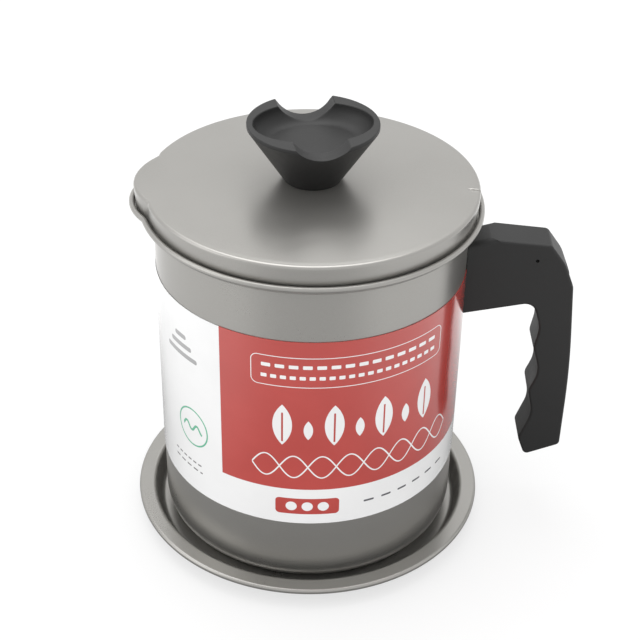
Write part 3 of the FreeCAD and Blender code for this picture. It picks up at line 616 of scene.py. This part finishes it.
def make_label():
    """Glued wrap: a thin closed band, open behind the handle, with faint ripples in its outside.

    A ripple is a wave round the pot that shifts with height, fades to both edges as the square of a
    sine, and is made stronger and weaker by a slower wave. u runs from the middle of the front, v from
    the wrap's foot.
    """
    turn = np.linspace(LABEL_HALF_OPENING, 2 * math.pi - LABEL_HALF_OPENING, LABEL_COLUMNS)
    height = LABEL_HIGH.z - LABEL_LOW.z
    rise = np.linspace(0, 1, LABEL_ROWS)
    z = LABEL_LOW.z + height * rise
    fade = np.sin(rise[:, None] * math.pi) ** 2
    beat = 0.5 + 0.5 * np.sin(turn * RIPPLE_BEAT + RIPPLE_BEAT_SHIFT)
    ripple = RIPPLE_DEPTH * np.sin(turn * RIPPLES + rise[:, None] * RIPPLE_SLANT) * fade * beat
    outer = turned_rings(np.column_stack([np.full_like(z, LABEL_OUTSIDE), z]), turn)
    outer[:, :, 0] += ripple * np.cos(turn)
    outer[:, :, 1] += ripple * np.sin(turn)
    inner = turned_rings(np.column_stack([np.full_like(z, LABEL_INSIDE), z]), turn)[::-1]
    u_line = (turn - FRONT) * LABEL_OUTSIDE
    v_line = np.concatenate([height * rise, height * rise[::-1]])
    return surface("label_print", np.concatenate([outer, inner]), wrap_rows=True, wrap_columns=False,
                   end_caps=True, uv=(u_line, v_line))


# ---------------- strainer's woven cup
def make_mesh_cup():
    """Woven cup: turned profile, straight in the neck, tapered and with a rounded foot."""
    bend = MESH_HIGH.z - CLAMP_HEIGHT
    foot = MESH_TOP_RADIUS - MESH_TAPER
    inside = MESH_TOP_RADIUS - MESH_THICKNESS
    floor = MESH_LOW.z
    outside = rounded_path([
        (0, floor, 0),
        (foot, floor, MESH_CORNER_RADIUS),
        (MESH_TOP_RADIUS, bend, 0),
        (MESH_TOP_RADIUS, MESH_HIGH.z, 0),
    ])
    lining = rounded_path([
        (inside, MESH_HIGH.z, 0),
        (inside, bend, 0),
        (foot - MESH_THICKNESS, floor + MESH_THICKNESS, MESH_CORNER_RADIUS - MESH_THICKNESS),
        (0, floor + MESH_THICKNESS, 0),
    ])
    angles = np.linspace(-math.pi, math.pi, MESH_COLUMNS, endpoint=False)
    return surface("woven_cup", turned_rings(np.concatenate([outside, lining]), angles))


# ---------------- shader helpers
def feed(tree, value, socket):
    """Links a term or a socket to an input, and sets any other value on it."""
    value = getattr(value, "socket", value)
    if isinstance(value, bpy.types.NodeSocket):
        tree.links.new(value, socket)
    else:
        socket.default_value = value


def add(tree, kind, inputs=None, **settings):
    """New shader node, with its inputs fed by name or number."""
    made = tree.nodes.new(kind)
    for name, value in settings.items():
        setattr(made, name, value)
    for key, value in (inputs or {}).items():
        feed(tree, value, made.inputs[key])
    return made


def calc(tree, operation, *values):
    """Term that a Math node works out."""
    made = add(tree, "ShaderNodeMath", dict(enumerate(values)), operation=operation)
    return Term(tree, made.outputs[0])


class Term:
    """Value in a shader tree, with the usual arithmetic: each step becomes a Math node."""

    def __init__(self, tree, socket):
        """Takes a socket of the tree as the value."""
        self.tree = tree
        self.socket = socket

    def step(self, operation, *others):
        """Operation on this value and others."""
        return calc(self.tree, operation, self, *others)

    def __rsub__(self, other):
        """Number less this value."""
        return calc(self.tree, "SUBTRACT", other, self)

    def __rtruediv__(self, other):
        """Number divided by this value."""
        return calc(self.tree, "DIVIDE", other, self)

    __add__ = __radd__ = partialmethod(step, "ADD")
    __mul__ = __rmul__ = partialmethod(step, "MULTIPLY")
    __sub__ = partialmethod(step, "SUBTRACT")
    __truediv__ = partialmethod(step, "DIVIDE")
    __abs__ = partialmethod(step, "ABSOLUTE")
    above = partialmethod(step, "GREATER_THAN")
    below = partialmethod(step, "LESS_THAN")
    max = partialmethod(step, "MAXIMUM")
    min = partialmethod(step, "MINIMUM")
    sin = partialmethod(step, "SINE")
    cos = partialmethod(step, "COSINE")
    atan2 = partialmethod(step, "ARCTAN2")
    sqrt = partialmethod(step, "SQRT")
    fract = partialmethod(step, "FRACT")


def split(tree, vector):
    """X, Y and Z of a vector."""
    return [Term(tree, part) for part in add(tree, "ShaderNodeSeparateXYZ", {0: vector}).outputs]


def length(u, v):
    """Length of (u, v)."""
    return (u * u + v * v).sqrt()


def ramp(value, from_low, from_high, to_low=0.0, to_high=1.0):
    """Term mapped from one range to another and kept inside it, with smooth ends."""
    inputs = {0: value, 1: from_low, 2: from_high, 3: to_low, 4: to_high}
    made = add(value.tree, "ShaderNodeMapRange", inputs, interpolation_type="SMOOTHSTEP")
    return Term(value.tree, made.outputs[0])


def choose(mask, first, second):
    """Term from the first where the mask is 0 to the second where it is 1."""
    return Term(mask.tree, add(mask.tree, "ShaderNodeMix", {0: mask, 2: first, 3: second}).outputs[0])


def blend(mask, first, second):
    """Colour from the first where the mask is 0 to the second where it is 1."""
    return add(mask.tree, "ShaderNodeMix", {0: mask, 6: first, 7: second}, data_type="RGBA").outputs[2]


def noise(tree, vector, scale, detail, roughness=0.5):
    """Noise about 0.5."""
    inputs = {"Vector": vector, "Scale": scale, "Detail": detail, "Roughness": roughness}
    return Term(tree, add(tree, "ShaderNodeTexNoise", inputs).outputs["Fac"])


def bump(height, distance):
    """Normal of a bump whose height 1 stands for the distance in metres."""
    inputs = {"Height": height, "Distance": distance, "Strength": 1.0}
    return add(height.tree, "ShaderNodeBump", inputs).outputs[0]


def object_place(tree):
    """Place on the piece in metres."""
    return add(tree, "ShaderNodeTexCoord").outputs["Object"]


def new_material(name):
    """Material with an empty tree that has a Principled shader and an output."""
    material = bpy.data.materials.new(name)
    material.use_nodes = True
    tree = material.node_tree
    tree.nodes.clear()
    shader = add(tree, "ShaderNodeBsdfPrincipled")
    add(tree, "ShaderNodeOutputMaterial", {"Surface": shader.outputs[0]})
    return material, tree, shader


def set_inputs(shader, **inputs):
    """Feeds the shader's inputs. Underscores in a name stand for spaces."""
    for name, value in inputs.items():
        feed(shader.id_data, value, shader.inputs[name.replace("_", " ")])


def new_group(name, inputs, output_names):
    """Node group with a vector Place, float inputs and float outputs."""
    group = bpy.data.node_groups.new(name, "ShaderNodeTree")
    group.interface.new_socket(name="Place", in_out="INPUT", socket_type="NodeSocketVector")
    for label in inputs:
        group.interface.new_socket(name=label, in_out="INPUT", socket_type="NodeSocketFloat")
    for label in output_names:
        group.interface.new_socket(name=label, in_out="OUTPUT", socket_type="NodeSocketFloat")
    start = group.nodes.new("NodeGroupInput")
    end = group.nodes.new("NodeGroupOutput")
    terms = [Term(group, start.outputs[label]) for label in inputs]
    return group, start.outputs["Place"], terms, end


def handling_group():
    """Smears from handling and fine grain of the surface, as masks from 0 to 1."""
    group, place, (smear_size, grain_size), end = new_group(
        "handling_and_grain", ("Smear size", "Grain size"), ("Smear", "Grain"))
    broad = noise(group, place, 1 / smear_size, detail=4.0, roughness=0.55)
    fine = noise(group, place, 1 / grain_size, detail=2.0, roughness=0.6)
    feed(group, ramp(broad, 0.3, 0.7), end.inputs["Smear"])
    feed(group, fine, end.inputs["Grain"])
    return group


SPECK_CUT = 0.72                 # cells whose random red is above this hold a speck


def speck_group():
    """Sparse small specks: 1 on a speck and 0 elsewhere."""
    group, place, (spacing, size), end = new_group("specks", ("Spacing", "Size"), ("Speck",))
    cells = add(group, "ShaderNodeTexVoronoi", {"Vector": place, "Scale": 1 / spacing}).outputs
    red = Term(group, add(group, "ShaderNodeSeparateColor", {0: cells["Color"]}).outputs[0])
    inside = Term(group, cells["Distance"]).below(size / spacing)
    feed(group, inside * red.above(SPECK_CUT), end.inputs["Speck"])
    return group


HANDLING = handling_group()
SPECKS = speck_group()


def handling(tree, place, smear_size, grain_size):
    """Smear and grain masks of the shared group."""
    inputs = {"Place": place, "Smear size": smear_size, "Grain size": grain_size}
    made = add(tree, "ShaderNodeGroup", inputs, node_tree=HANDLING)
    return Term(tree, made.outputs["Smear"]), Term(tree, made.outputs["Grain"])


def specks(tree, place, spacing, size):
    """Speck mask of the shared group."""
    inputs = {"Place": place, "Spacing": spacing, "Size": size}
    return Term(tree, add(tree, "ShaderNodeGroup", inputs, node_tree=SPECKS).outputs["Speck"])


# ---------------- materials
COATING_DARK = (0.360, 0.350, 0.330, 1)
COATING_LIGHT = (0.380, 0.371, 0.352, 1)
COATING_FLAKE = (0.385, 0.377, 0.358, 1)
COATING_SPECK = (0.55, 0.54, 0.52, 1)
MOULDING_DARK = (0.0040, 0.0040, 0.0040, 1)
MOULDING_LIGHT = (0.0065, 0.0064, 0.0062, 1)
# painted shade low in the weave and painted highlight on the wires' crowns
WIRE_PAINTED_SHADE = (0.02, 0.02, 0.02, 1)
WIRE_PAINTED_HIGHLIGHT = (0.60, 0.59, 0.57, 1)
PAPER_DARK = (0.80, 0.80, 0.80, 1)
PAPER_LIGHT = (0.84, 0.84, 0.84, 1)
BRICK_DARK = (0.43, 0.040, 0.031, 1)
BRICK_LIGHT = (0.47, 0.048, 0.038, 1)
INK_BLACK = (0.10, 0.10, 0.11, 1)
INK_GREEN = (0.10, 0.42, 0.26, 1)
INK_GREY = (0.33, 0.33, 0.33, 1)
INK_DARK_GREY = (0.16, 0.16, 0.16, 1)
STAINLESS = (0.62, 0.61, 0.59)
ZINC = (0.66, 0.66, 0.67)
SPRING_STEEL = (0.45, 0.45, 0.45)
BRASS = (0.72, 0.53, 0.25)


def satin_coating():
    """Warm grey satin non-stick coating over steel: flake sheen, faint smears, fine grain and specks."""
    material, tree, shader = new_material("grey_coating")
    place = object_place(tree)
    smear, grain = handling(tree, place, smear_size=45 * MM, grain_size=0.35 * MM)
    speck = specks(tree, place, spacing=16 * MM, size=0.35 * MM)
    base = blend(smear, COATING_DARK, COATING_LIGHT)
    flake = blend(ramp(grain, 0.35, 0.65), base, COATING_FLAKE)
    set_inputs(shader, Base_Color=blend(speck, flake, COATING_SPECK), Metallic=0.82,
               Roughness=0.26 + 0.04 * smear + 0.03 * grain,
               Normal=bump(grain + 1.5 * speck, 0.012 * MM))
    return material


def black_moulding():
    """Matte black moulding with a fine spark-eroded grain."""
    material, tree, shader = new_material("black_moulding")
    smear, grain = handling(tree, object_place(tree), smear_size=20 * MM, grain_size=0.5 * MM)
    set_inputs(shader, Base_Color=blend(smear, MOULDING_DARK, MOULDING_LIGHT),
               Roughness=0.52 + 0.08 * smear, Specular_IOR_Level=0.62, Normal=bump(grain, 0.03 * MM))
    return material


def plain_metal(name, color, roughness, brush):
    """Bare or plated metal with fine lines round the axis, darker by a fifth between them."""
    material, tree, shader = new_material(name)
    place = object_place(tree)
    smear, grain = handling(tree, place, smear_size=15 * MM, grain_size=0.4 * MM)
    stretched = add(tree, "ShaderNodeMapping", {"Vector": place, "Scale": (1, 1, 30)}).outputs[0]
    lines = noise(tree, stretched, scale=120.0, detail=2.0)
    dark = (0.8 * part for part in color)
    tint = blend(ramp(lines, 0.3, 0.7), (*dark, 1), (*color, 1))
    set_inputs(shader, Base_Color=tint, Metallic=1.0,
               Roughness=roughness + 0.1 * smear, Normal=bump(grain + brush * lines, 0.01 * MM))
    return material


def woven_wire():
    """Fine woven stainless wire: two crossing sets that pass over and under each other, open between.

    u and v run round and up the wall, and along X and Y on the floor. Each set's height is a wave across
    its wires times a wave of twice the pitch along them. Its colour is painted shade where a wire dips
    under the other set and at its sides, and a painted highlight on the crowns.
    """
    material, tree, shader = new_material("woven_mesh")
    place = object_place(tree)
    x, y, z = split(tree, place)
    on_floor = z.below(MESH_LOW.z + 0.6 * MESH_CORNER_RADIUS)
    u = choose(on_floor, MESH_TOP_RADIUS * y.atan2(x), x) * (2 * math.pi / MESH_PITCH)
    v = choose(on_floor, z, y) * (2 * math.pi / MESH_PITCH)
    warp = u.cos() * (0.5 * v).cos()
    weft = v.cos() * (0.5 * u).cos()
    height = abs(warp).max(abs(weft))
    smear, grain = handling(tree, place, smear_size=20 * MM, grain_size=0.4 * MM)
    # colour runs from painted shade where the weave is low to a painted highlight on the crowns
    set_inputs(shader, Base_Color=blend(ramp(height, 0.25, 0.55), WIRE_PAINTED_SHADE, WIRE_PAINTED_HIGHLIGHT),
               Metallic=1.0, Roughness=0.28 + 0.08 * smear, Alpha=height.above(0.3),
               Normal=bump(height + 0.1 * grain, 0.12 * MM))
    return material


def both(*masks):
    """Where every mask holds."""
    return reduce(lambda result, mask: result * mask, masks)


def either(*masks):
    """Where at least one mask holds."""
    return reduce(lambda result, mask: result.max(mask), masks)


def without(mask, hole):
    """Where a mask holds and the hole doesn't."""
    return mask * (1 - hole)


class Print:
    """Shapes of the print as masks on the wrap's own (u, v), in metres."""

    EDGE = 0.06 * MM             # softness of a printed edge

    def __init__(self, tree):
        """Reads the wrap's own (u, v) in the tree."""
        self.u, self.v, _ = split(tree, add(tree, "ShaderNodeUVMap", uv_map="print").outputs[0])

    def inside(self, distance):
        """Mask of a distance that is negative inside."""
        return ramp(distance, self.EDGE, -self.EDGE)

    def line(self, distance, width):
        """Line along the edge of a shape, from the distance outside that shape."""
        return self.inside(abs(distance) - width / 2)

    def from_place(self, place):
        """Distance from a place."""
        return length(self.u - place[0], self.v - place[1])

    def box_distance(self, u, v, half_width, half_height, rounding):
        """Distance outside a rounded rectangle about the place where u and v are zero."""
        side = abs(u) - (half_width - rounding)
        rise = abs(v) - (half_height - rounding)
        return length(side.max(0.0), rise.max(0.0)) + side.max(rise).min(0.0) - rounding

    def range_distance(self, u_range, v_range, rounding):
        """Distance outside a rounded rectangle that fills two ranges."""
        half = ((u_range[1] - u_range[0]) / 2, (v_range[1] - v_range[0]) / 2)
        return self.box_distance(self.u - sum(u_range) / 2, self.v - sum(v_range) / 2, *half, rounding)

    def box(self, u_range, v_range, rounding=0.0):
        """Filled rounded rectangle."""
        return self.inside(self.range_distance(u_range, v_range, rounding))

    def frame(self, u_range, v_range, rounding, width):
        """Outline of a rounded rectangle."""
        return self.line(self.range_distance(u_range, v_range, rounding), width)

    def disc(self, centre, radius):
        """Filled circle."""
        return self.inside(self.from_place(centre) - radius)

    def circle(self, centre, radius, width):
        """Outline of a circle."""
        return self.line(self.from_place(centre) - radius, width)

    def wave(self, middle, height, pitch, width, phase=0.0):
        """Sine line round the pot: the upright distance from it, divided by its steepness there."""
        angle = self.u * (2 * math.pi / pitch) + phase
        slope = angle.cos() * (height * 2 * math.pi / pitch)
        upright = self.v - (middle + height * angle.sin())
        return self.line(upright / (slope * slope + 1.0).sqrt(), width)

    def cell(self, start, pitch):
        """Distance from the middle of the nearest cell of a row of equal cells."""
        return (((self.u - start) / pitch).fract() - 0.5) * pitch

    def leaves(self, start, pitch, middle, half_length, half_width):
        """Row of upright leaves: each the overlap of two discs."""
        u, v = self.cell(start, pitch), self.v - middle
        radius = (half_length ** 2 + half_width ** 2) / (2 * half_width)
        offset = radius - half_width
        return self.inside(length(u + offset, v).max(length(u - offset, v)) - radius)

    def dashes(self, start, pitch, middle, half_width, half_height, rounding):
        """Row of short bars."""
        u, v = self.cell(start, pitch), self.v - middle
        return self.inside(self.box_distance(u, v, half_width, half_height, rounding))


def span(low, high):
    """Range of the print, from millimetres."""
    return low * MM, high * MM


PANEL_U, PANEL_V = span(-33.8, 120), span(16.4, 92.2)
BRAID_U, BRAID_V = span(-21, 63), span(19, 34)
LEAF_U, LEAF_V = span(-19, 57), span(34, 60)
SMALL_LEAF_U = span(-9.5, 47.5)
LEAF_PITCH = 19 * MM
LEAF_SHAPE = {"middle": 46 * MM, "half_length": 9.0 * MM, "half_width": 3.6 * MM}
SMALL_LEAF_SHAPE = {"middle": 44 * MM, "half_length": 4.2 * MM, "half_width": 1.7 * MM}
FRAME_U, FRAME_V = span(-21, 55), span(63, 75.5)
BARS_U, BARS_V = span(-18, 52), span(63, 75)
BAR_SHAPE = {"half_height": 0.75 * MM, "rounding": 0.3 * MM}
BADGE_U, BADGE_V = span(-12, 12), span(4.5, 12)
BADGE_DOTS = ((-6 * MM, 8.25 * MM), (0, 8.25 * MM), (6 * MM, 8.25 * MM))
STRIP_U, STRIP_V = span(20, 66), span(5, 12)
RING_PLACE = (-49 * MM, 30 * MM)
STACK = ((span(-64, -45), span(60, 62)), (span(-61, -48), span(64, 66)), (span(-58, -51), span(68, 70)))
LINES_U, LINES_V = span(-62, -44), span(8, 16)
LINE_SHAPE = {"half_height": 0.35 * MM, "rounding": 0.2 * MM}


def white_ornaments(ink):
    """What stays white in the red panel: a braid, two sizes of leaf and a framed field of bars."""
    strand = {"middle": 27 * MM, "height": 5.0 * MM, "pitch": 21 * MM, "width": 0.55 * MM}
    strands = either(ink.wave(**strand), ink.wave(**strand, phase=math.pi))
    braid = both(ink.box(BRAID_U, BRAID_V), strands)
    veins = ink.dashes(LEAF_U[0], LEAF_PITCH, middle=45 * MM, half_width=0.35 * MM,
                       half_height=6.5 * MM, rounding=0.3 * MM)
    leaves = both(ink.box(LEAF_U, LEAF_V), without(ink.leaves(LEAF_U[0], LEAF_PITCH, **LEAF_SHAPE), veins))
    small = ink.leaves(SMALL_LEAF_U[0], LEAF_PITCH, **SMALL_LEAF_SHAPE)
    small = both(ink.box(SMALL_LEAF_U, LEAF_V), small)
    frame_line = ink.frame(FRAME_U, FRAME_V, rounding=2.5 * MM, width=0.3 * MM)
    bars = both(ink.box(BARS_U, BARS_V), either(
        ink.dashes(BARS_U[0], pitch=5.0 * MM, middle=71.6 * MM, half_width=1.7 * MM, **BAR_SHAPE),
        ink.dashes(BARS_U[0], pitch=3.5 * MM, middle=67.0 * MM, half_width=1.1 * MM, **BAR_SHAPE),
    ))
    return either(braid, leaves, small, frame_line, bars)


def red_badge(ink):
    """Small red badge under the panel, with three white dots."""
    dots = either(*(ink.disc(place, 2.1 * MM) for place in BADGE_DOTS))
    badge = ink.box(BADGE_U, BADGE_V, 1.6 * MM)
    return without(badge, both(badge, dots))


def black_strip(ink):
    """Row of thin black bars under the panel's right part."""
    bars = ink.dashes(STRIP_U[0], pitch=7.4 * MM, middle=8.2 * MM, half_width=2.1 * MM,
                      half_height=0.45 * MM, rounding=0.4 * MM)
    return both(ink.box(STRIP_U, STRIP_V), bars)


def green_ring(ink):
    """Green ring with a wave in it, on the white left part."""
    wave = ink.wave(middle=RING_PLACE[1], height=1.4 * MM, pitch=6 * MM, width=1.0 * MM)
    return either(
        ink.circle(RING_PLACE, radius=8.2 * MM, width=0.7 * MM),
        both(ink.disc(RING_PLACE, 5.6 * MM), wave),
    )


def grey_stack(ink):
    """Three grey bars, shorter upwards, at the top of the left part."""
    return either(*(ink.box(u_range, v_range, 0.9 * MM) for u_range, v_range in STACK))


def small_lines(ink):
    """Two rows of tiny bars at the foot of the left part."""
    return both(ink.box(LINES_U, LINES_V), either(
        ink.dashes(LINES_U[0], pitch=3.0 * MM, middle=13.4 * MM, half_width=0.95 * MM, **LINE_SHAPE),
        ink.dashes(LINES_U[0], pitch=4.0 * MM, middle=10.2 * MM, half_width=1.3 * MM, **LINE_SHAPE),
    ))


def printed_label():
    """Glossy coated paper: brick red panel with white ornaments, white border and a plain left part."""
    material, tree, shader = new_material("printed_label")
    ink = Print(tree)
    smear, grain = handling(tree, object_place(tree), smear_size=30 * MM, grain_size=0.4 * MM)
    paper = blend(smear, PAPER_DARK, PAPER_LIGHT)
    red = blend(smear, BRICK_DARK, BRICK_LIGHT)
    color = blend(without(ink.box(PANEL_U, PANEL_V), white_ornaments(ink)), paper, red)
    color = blend(red_badge(ink), color, red)
    color = blend(black_strip(ink), color, INK_BLACK)
    color = blend(green_ring(ink), color, INK_GREEN)
    color = blend(grey_stack(ink), color, INK_GREY)
    color = blend(small_lines(ink), color, INK_DARK_GREY)
    set_inputs(shader, Base_Color=color, Roughness=0.20 + 0.06 * smear,
               Normal=bump(grain, 0.004 * MM), Coat_Weight=1.0, Coat_Roughness=0.12)
    return material


# ---------------- stage
FLOOR_HALF_SIZE = 3.0
FLOOR_GLOW = 0.66                # to the camera, with the lit share on top
FLOOR_ALBEDO = 0.22
FLOOR_MIRRORED = 0.68            # in reflections
FLOOR_SCATTERED = 0.25           # as light on the pot
# reach over which the painted shadow round the pot fades out in reflections
FLOOR_NEAR, FLOOR_FAR = 0.082, 0.240
WORLD_SEEN = 0.90
WORLD_LIGHT = 1.5
LIGHT_TARGET = (0, 0, 0.1)
CAMERA_PLACE = (0.0006, -0.45926, 0.38993)
CAMERA_PITCH = math.radians(33.53675)
CAMERA_YAW = math.radians(0.3973)
CAMERA_ROLL = math.radians(1.15447)
CAMERA_SENSOR = 36               # millimetres, as is the lens
CAMERA_LENS = 79.487


def light_rays(tree):
    """Masks of the camera's, the glossy, the transmission and the diffuse rays."""
    path = add(tree, "ShaderNodeLightPath").outputs
    kinds = ("Is Camera Ray", "Is Glossy Ray", "Is Transmission Ray", "Is Diffuse Ray")
    return [Term(tree, path[kind]) for kind in kinds]


def make_floor():
    """Pale floor: white to the camera, with a diffuse share that keeps the soft shadow.

    In reflections it carries a painted shadow close to the pot and painted shade in front of it, and
    painted light behind it.
    """
    half = FLOOR_HALF_SIZE
    corners = [(-half, -half, 0), (half, -half, 0), (half, half, 0), (-half, half, 0)]
    mesh = bpy.data.meshes.new("studio_floor")
    mesh.from_pydata(corners, [], [(0, 1, 2, 3)])
    floor = bpy.data.objects.new("studio_floor", mesh)
    bpy.context.scene.collection.objects.link(floor)
    material = bpy.data.materials.new("floor_white")
    material.use_nodes = True
    tree = material.node_tree
    tree.nodes.clear()
    place = object_place(tree)
    reach = add(tree, "ShaderNodeVectorMath", {0: place}, operation="LENGTH")
    radius = Term(tree, reach.outputs["Value"])
    ahead = split(tree, place)[1] * -1.0 / radius
    # painted shadow near the pot, painted shade in front and painted light behind, seen only in
    # reflections
    near = ramp(radius, FLOOR_NEAR, FLOOR_FAR, 0.02, 1.0)
    front = ramp(ahead, 0.66, 1.0, 1.0, 0.50)
    behind = ramp(ahead, -0.45, -0.95, 1.0, 1.75)
    camera, glossy, transmission, diffuse = light_rays(tree)
    glow_seen = camera.max(transmission) * FLOOR_GLOW
    glow_mirrored = glossy * (near * front * behind * FLOOR_MIRRORED)
    strength = glow_seen.max(glow_mirrored).max(diffuse * FLOOR_SCATTERED)
    glow = add(tree, "ShaderNodeEmission", {"Color": (1, 1, 1, 1), "Strength": strength})
    lit = add(tree, "ShaderNodeBsdfDiffuse", {"Color": (*[FLOOR_ALBEDO] * 3, 1)})
    mixed = add(tree, "ShaderNodeAddShader", {0: glow.outputs[0], 1: lit.outputs[0]})
    add(tree, "ShaderNodeOutputMaterial", {"Surface": mixed.outputs[0]})
    mesh.materials.append(material)


def make_world():
    """White surroundings: nearly white where seen or mirrored, and a plain soft level as light."""
    world = bpy.data.worlds.new("white_room")
    bpy.context.scene.world = world
    world.use_nodes = True
    tree = world.node_tree
    tree.nodes.clear()
    camera, glossy, transmission, _ = light_rays(tree)
    strength = ramp(camera.max(glossy).max(transmission), 0.0, 1.0, WORLD_LIGHT, WORLD_SEEN)
    background = add(tree, "ShaderNodeBackground", {"Color": (1, 1, 1, 1), "Strength": strength})
    add(tree, "ShaderNodeOutputWorld", {"Surface": background.outputs[0]})


def make_light(name, place, width, height, power):
    """Soft box that faces the pot."""
    lamp = bpy.data.lights.new(name, "AREA")
    lamp.shape = "RECTANGLE"
    lamp.size = width
    lamp.size_y = height
    lamp.energy = power
    made = bpy.data.objects.new(name, lamp)
    made.location = place
    made.rotation_euler = (Vector(LIGHT_TARGET) - Vector(place)).to_track_quat("-Z", "Y").to_euler()
    bpy.context.scene.collection.objects.link(made)


def make_camera():
    """Camera in front of the pot, looking down by a third of a right angle and leaning a little."""
    ahead = Vector((math.sin(CAMERA_YAW), math.cos(CAMERA_YAW), 0))
    forward = ahead * math.cos(CAMERA_PITCH) - Vector((0, 0, math.sin(CAMERA_PITCH)))
    level = Vector((math.cos(CAMERA_YAW), -math.sin(CAMERA_YAW), 0))
    above = level.cross(forward)
    right = math.cos(CAMERA_ROLL) * level + math.sin(CAMERA_ROLL) * above
    up = math.cos(CAMERA_ROLL) * above - math.sin(CAMERA_ROLL) * level
    lens = bpy.data.cameras.new("camera")
    lens.sensor_width = CAMERA_SENSOR
    lens.lens = CAMERA_LENS
    camera = bpy.data.objects.new("camera", lens)
    axes = Matrix((right, up, -forward)).transposed().to_4x4()
    camera.matrix_world = Matrix.Translation(CAMERA_PLACE) @ axes
    bpy.context.scene.collection.objects.link(camera)
    bpy.context.scene.camera = camera


# ---------------- assembly
def finish_piece(piece, material, body, slot, *nodes):
    """Gives a new piece its material and its body, and hides the solids that it stands for. The slot is
    not used.
    """
    piece.data.materials.append(material)
    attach(piece, body)
    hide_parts(*nodes)


def dress_node(name, material):
    """Gives a solid that stays its material."""
    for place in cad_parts[name].material_slots:
        place.material = material


make_camera()
bpy.context.scene.view_settings.view_transform = "Standard"
make_floor()
make_world()
make_light("top_box", (-0.10, 0.28, 1.10), width=0.9, height=0.9, power=5.6)
make_light("left_box", (-0.95, -0.25, 0.65), width=0.8, height=0.9, power=2.4)

coating = satin_coating()
moulding = black_moulding()
stainless = plain_metal("stainless_steel", STAINLESS, roughness=0.26, brush=1.0)
zinc = plain_metal("zinc_steel", ZINC, roughness=0.22, brush=0.2)
strap_steel = plain_metal("plain_steel", SPRING_STEEL, roughness=0.35, brush=0.5)
brass = plain_metal("brass_insert", BRASS, roughness=0.25, brush=0.4)

finish_piece(make_tray(), coating, "tray", "grey_coating", "drip_tray")
finish_piece(make_pot(), coating, "pot", "grey_coating", "pot_body")
finish_piece(make_label(), printed_label(), "pot", "printed_label", "label_wrap")
finish_piece(make_lid(), coating, "lid", "grey_coating", "lid_plate")
finish_piece(make_knob(), moulding, "lid", "black_moulding", "lid_knob")
finish_piece(make_mesh_cup(), woven_wire(), "strainer", "woven_mesh", "strainer_mesh")

dress_node("handle_grip", moulding)
dress_node("handle_strap", strap_steel)
for node in ("handle_nut", "handle_washer", "handle_screw", "knob_washer", "knob_screw"):
    dress_node(node, zinc)
for node in ("strainer_collar", "strainer_clamp_ring", "strainer_lift_tabs"):
    dress_node(node, stainless)
dress_node("knob_insert", brass)
